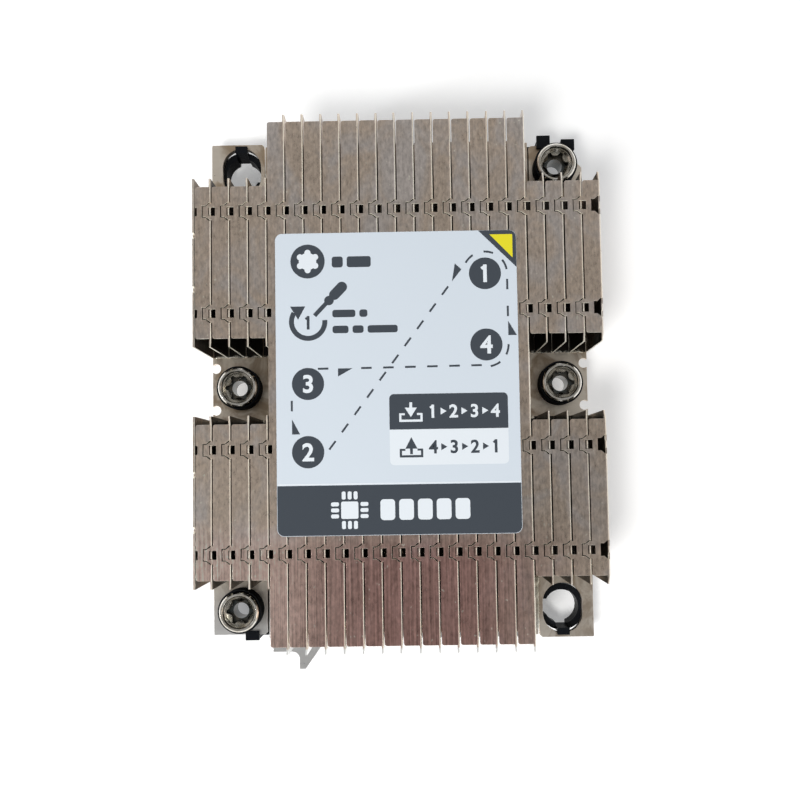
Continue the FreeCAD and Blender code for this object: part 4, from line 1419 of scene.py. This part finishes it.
@dataclass(frozen=True)
class Studio:
    """The floor, the lamps, the surroundings and the camera."""

    floor_level: float
    eye: tuple[float, float, float] = (2.27, -18.69, 241.06)
    tilt: tuple[float, float, float] = (3.824, 0.554, -0.895)
    lens: float = 48.98
    sensor: float = 36.0
    # Half size and fade of the painted shadow under the object, in millimetres.
    shade: tuple[float, float] = (30.0, 46.0)
    fade: float = 8.0

    def build(self) -> None:
        """Set the scene up."""
        self._floor()
        self._lamp("key", mm(-140, -225, 560), 140.0, 2.42, (1.0, 0.99, 0.97))
        self._lamp("fill", mm(560, 160, 400), 380.0, 0.8, (0.95, 0.97, 1.0))
        self._lamp("glint", mm(-420, -160, 250), 70.0, 0.62, (0.95, 0.98, 1.0), mirrored=True)
        self._surroundings()
        self._camera()

    def _floor(self) -> None:
        """Lay a pale floor that stays white to the camera, keeps the shadow and has a painted shadow
        under the object.
        """
        work = Workpiece.sheet("floor", Vector((-3, -3, self.floor_level)),
                               Vector((3, 3, self.floor_level)))
        floor = work.rest()
        graph = Graph("pale_floor")
        light = graph.node("ShaderNodeLightPath")
        mirrored = Signal(graph, light.outputs["Is Glossy Ray"])
        seen = (Signal(graph, light.outputs["Is Camera Ray"])
                + Signal(graph, light.outputs["Is Transmission Ray"]))
        # Painted shadow: under the object the floor glows less, to the camera and in reflections.
        across, along = (abs(graph.axis(name)).step(reach * MM, (reach + self.fade) * MM)
                         for name, reach in zip("XY", self.shade))
        covered = (1.0 - across) * (1.0 - along)
        share = (seen * 0.18 + mirrored * 0.25) * (1.0 - covered * (mirrored * 0.4 + 0.4))
        matt = graph.node("ShaderNodeBsdfDiffuse", None, {"Color": (0.94, 0.94, 0.94)})
        glow = graph.node("ShaderNodeEmission", None, {"Color": (0.98, 0.99, 1.0), "Strength": 2.0})
        floor.data.materials.append(graph.end(graph.blend(share, matt.outputs[0], glow.outputs[0])))
        floor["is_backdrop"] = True

    @staticmethod
    def _lamp(name: str, place: Vector, size: float, power: float, colour: Colour,
              mirrored: bool = False) -> None:
        """Hang a square soft lamp that faces the object.

        Args:
            name: The lamp's name.
            place: Where it hangs.
            size: Length of its side in millimetres.
            power: Power in watts.
            colour: Colour of its light.
            mirrored: Whether bright metal reflects it.
        """
        data = bpy.data.lights.new(name, "AREA")
        data.shape = "SQUARE"
        data.size = size * MM
        data.energy = power
        data.color = colour
        lamp = bpy.data.objects.new(name, data)
        lamp.location = place
        lamp.visible_glossy = mirrored
        lamp.rotation_euler = (-place).to_track_quat("-Z", "Y").to_euler()
        bpy.context.scene.collection.objects.link(lamp)

    @staticmethod
    def _surroundings() -> None:
        """Light the room: bright walls, a dimmer ceiling, and less light on matt surfaces."""
        graph = Graph("room", world=True)
        bpy.context.scene.world = graph.owner
        direction = graph.coordinates.outputs["Generated"]
        height = graph.node("ShaderNodeSeparateXYZ", None, {0: direction}).outputs["Z"]
        levels = ((0.0, 0.9), (0.5, 1.0), (0.78, 0.85), (0.93, 0.42), (1.0, 0.34))
        stops = [(position, (level, level, level)) for position, level in levels]
        ramp = graph.node("ShaderNodeValToRGB", {"stops": stops}, {0: height})
        matt = Signal(graph, graph.node("ShaderNodeLightPath").outputs["Is Diffuse Ray"])
        background = graph.node("ShaderNodeBackground", None,
                                {"Color": ramp.outputs[0], "Strength": 0.76 - matt * 0.37})
        graph.node("ShaderNodeOutputWorld", None, {"Surface": background.outputs[0]})

    def _camera(self) -> None:
        """Put the camera above the heatsink, looking down."""
        pitch, roll, turn = (math.radians(angle) for angle in self.tilt)
        aim = (Matrix.Rotation(roll, 4, "Y") @ Matrix.Rotation(pitch, 4, "X")
               @ Matrix.Rotation(turn, 4, "Z"))
        data = bpy.data.cameras.new("camera")
        data.sensor_width = self.sensor
        data.lens = self.lens
        data.clip_start = 0.01
        camera = bpy.data.objects.new("camera", data)
        camera.matrix_world = Matrix.Translation(mm(*self.eye)) @ aim
        bpy.context.scene.collection.objects.link(camera)
        bpy.context.scene.camera = camera


# --- The whole scene ------------------------------------------------------------------------------


def as_lists(bounds: Sequence[Vector]) -> list[list[float]]:
    """Turn two corners into plain lists."""
    return [[float(value) for value in corner] for corner in bounds]


def main() -> None:
    """Load the frame, build every sub-assembly around it and light it."""
    logging.basicConfig(level=logging.INFO, format="%(message)s")
    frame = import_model()
    cad_box = as_lists(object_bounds())
    nodes = frame["nodes"]

    sheet = NickelSheet().material()
    plate = SatinPlating("plate_nickel", (0.96, 0.86, 0.73), (0.50, 0.385, 0.27)).material()
    chamber = SatinPlating("chamber_nickel", (0.92, 0.87, 0.79), (0.74, 0.67, 0.56), 0.34).material()
    spring = SatinPlating("spring_steel", (0.42, 0.42, 0.42), (0.34, 0.33, 0.32), 0.3).material()
    steel = TurnedSteel("turned_steel", (0.90, 0.87, 0.81), (0.60, 0.55, 0.46), 0.16).material()
    # Dark steel that paints shade into the nuts' recesses.
    shade_steel = TurnedSteel("recess_shade_steel", (0.10, 0.11, 0.105), (0.20, 0.17, 0.13), 0.22).material()
    gloss = BlackMoulding("black_gloss", 0.28).material()
    matt = BlackMoulding("black_matt", 0.5).material()

    FinStack(nodes, sheet, cad_box[1][0]).build()
    castings = Castings(nodes)
    castings.dress("mounting_plate", plate, "plate", 0.12)
    castings.dress("vapour_chamber", chamber, "chamber", 0.12)
    castings.dress("processor_carrier", gloss, "carrier", 0.15)
    Label().build()
    solder = SatinPlating("solder", (0.93, 0.89, 0.78), (0.62, 0.55, 0.42), 0.25).material()
    Solder(solder).build()
    for where in SCREWS:
        castings.dress(f"collar_{where}", matt, "collar", 0.08)
        castings.dress(f"clip_{where}", spring, "clip", 0.08, f"screw_{where}")
    CaptiveNuts(steel, shade_steel).build()

    Studio(cad_box[0][2] - 0.02 * MM).build()
    bpy.context.scene.view_settings.view_transform = "Standard"


if __name__ == "__main__":
    main()
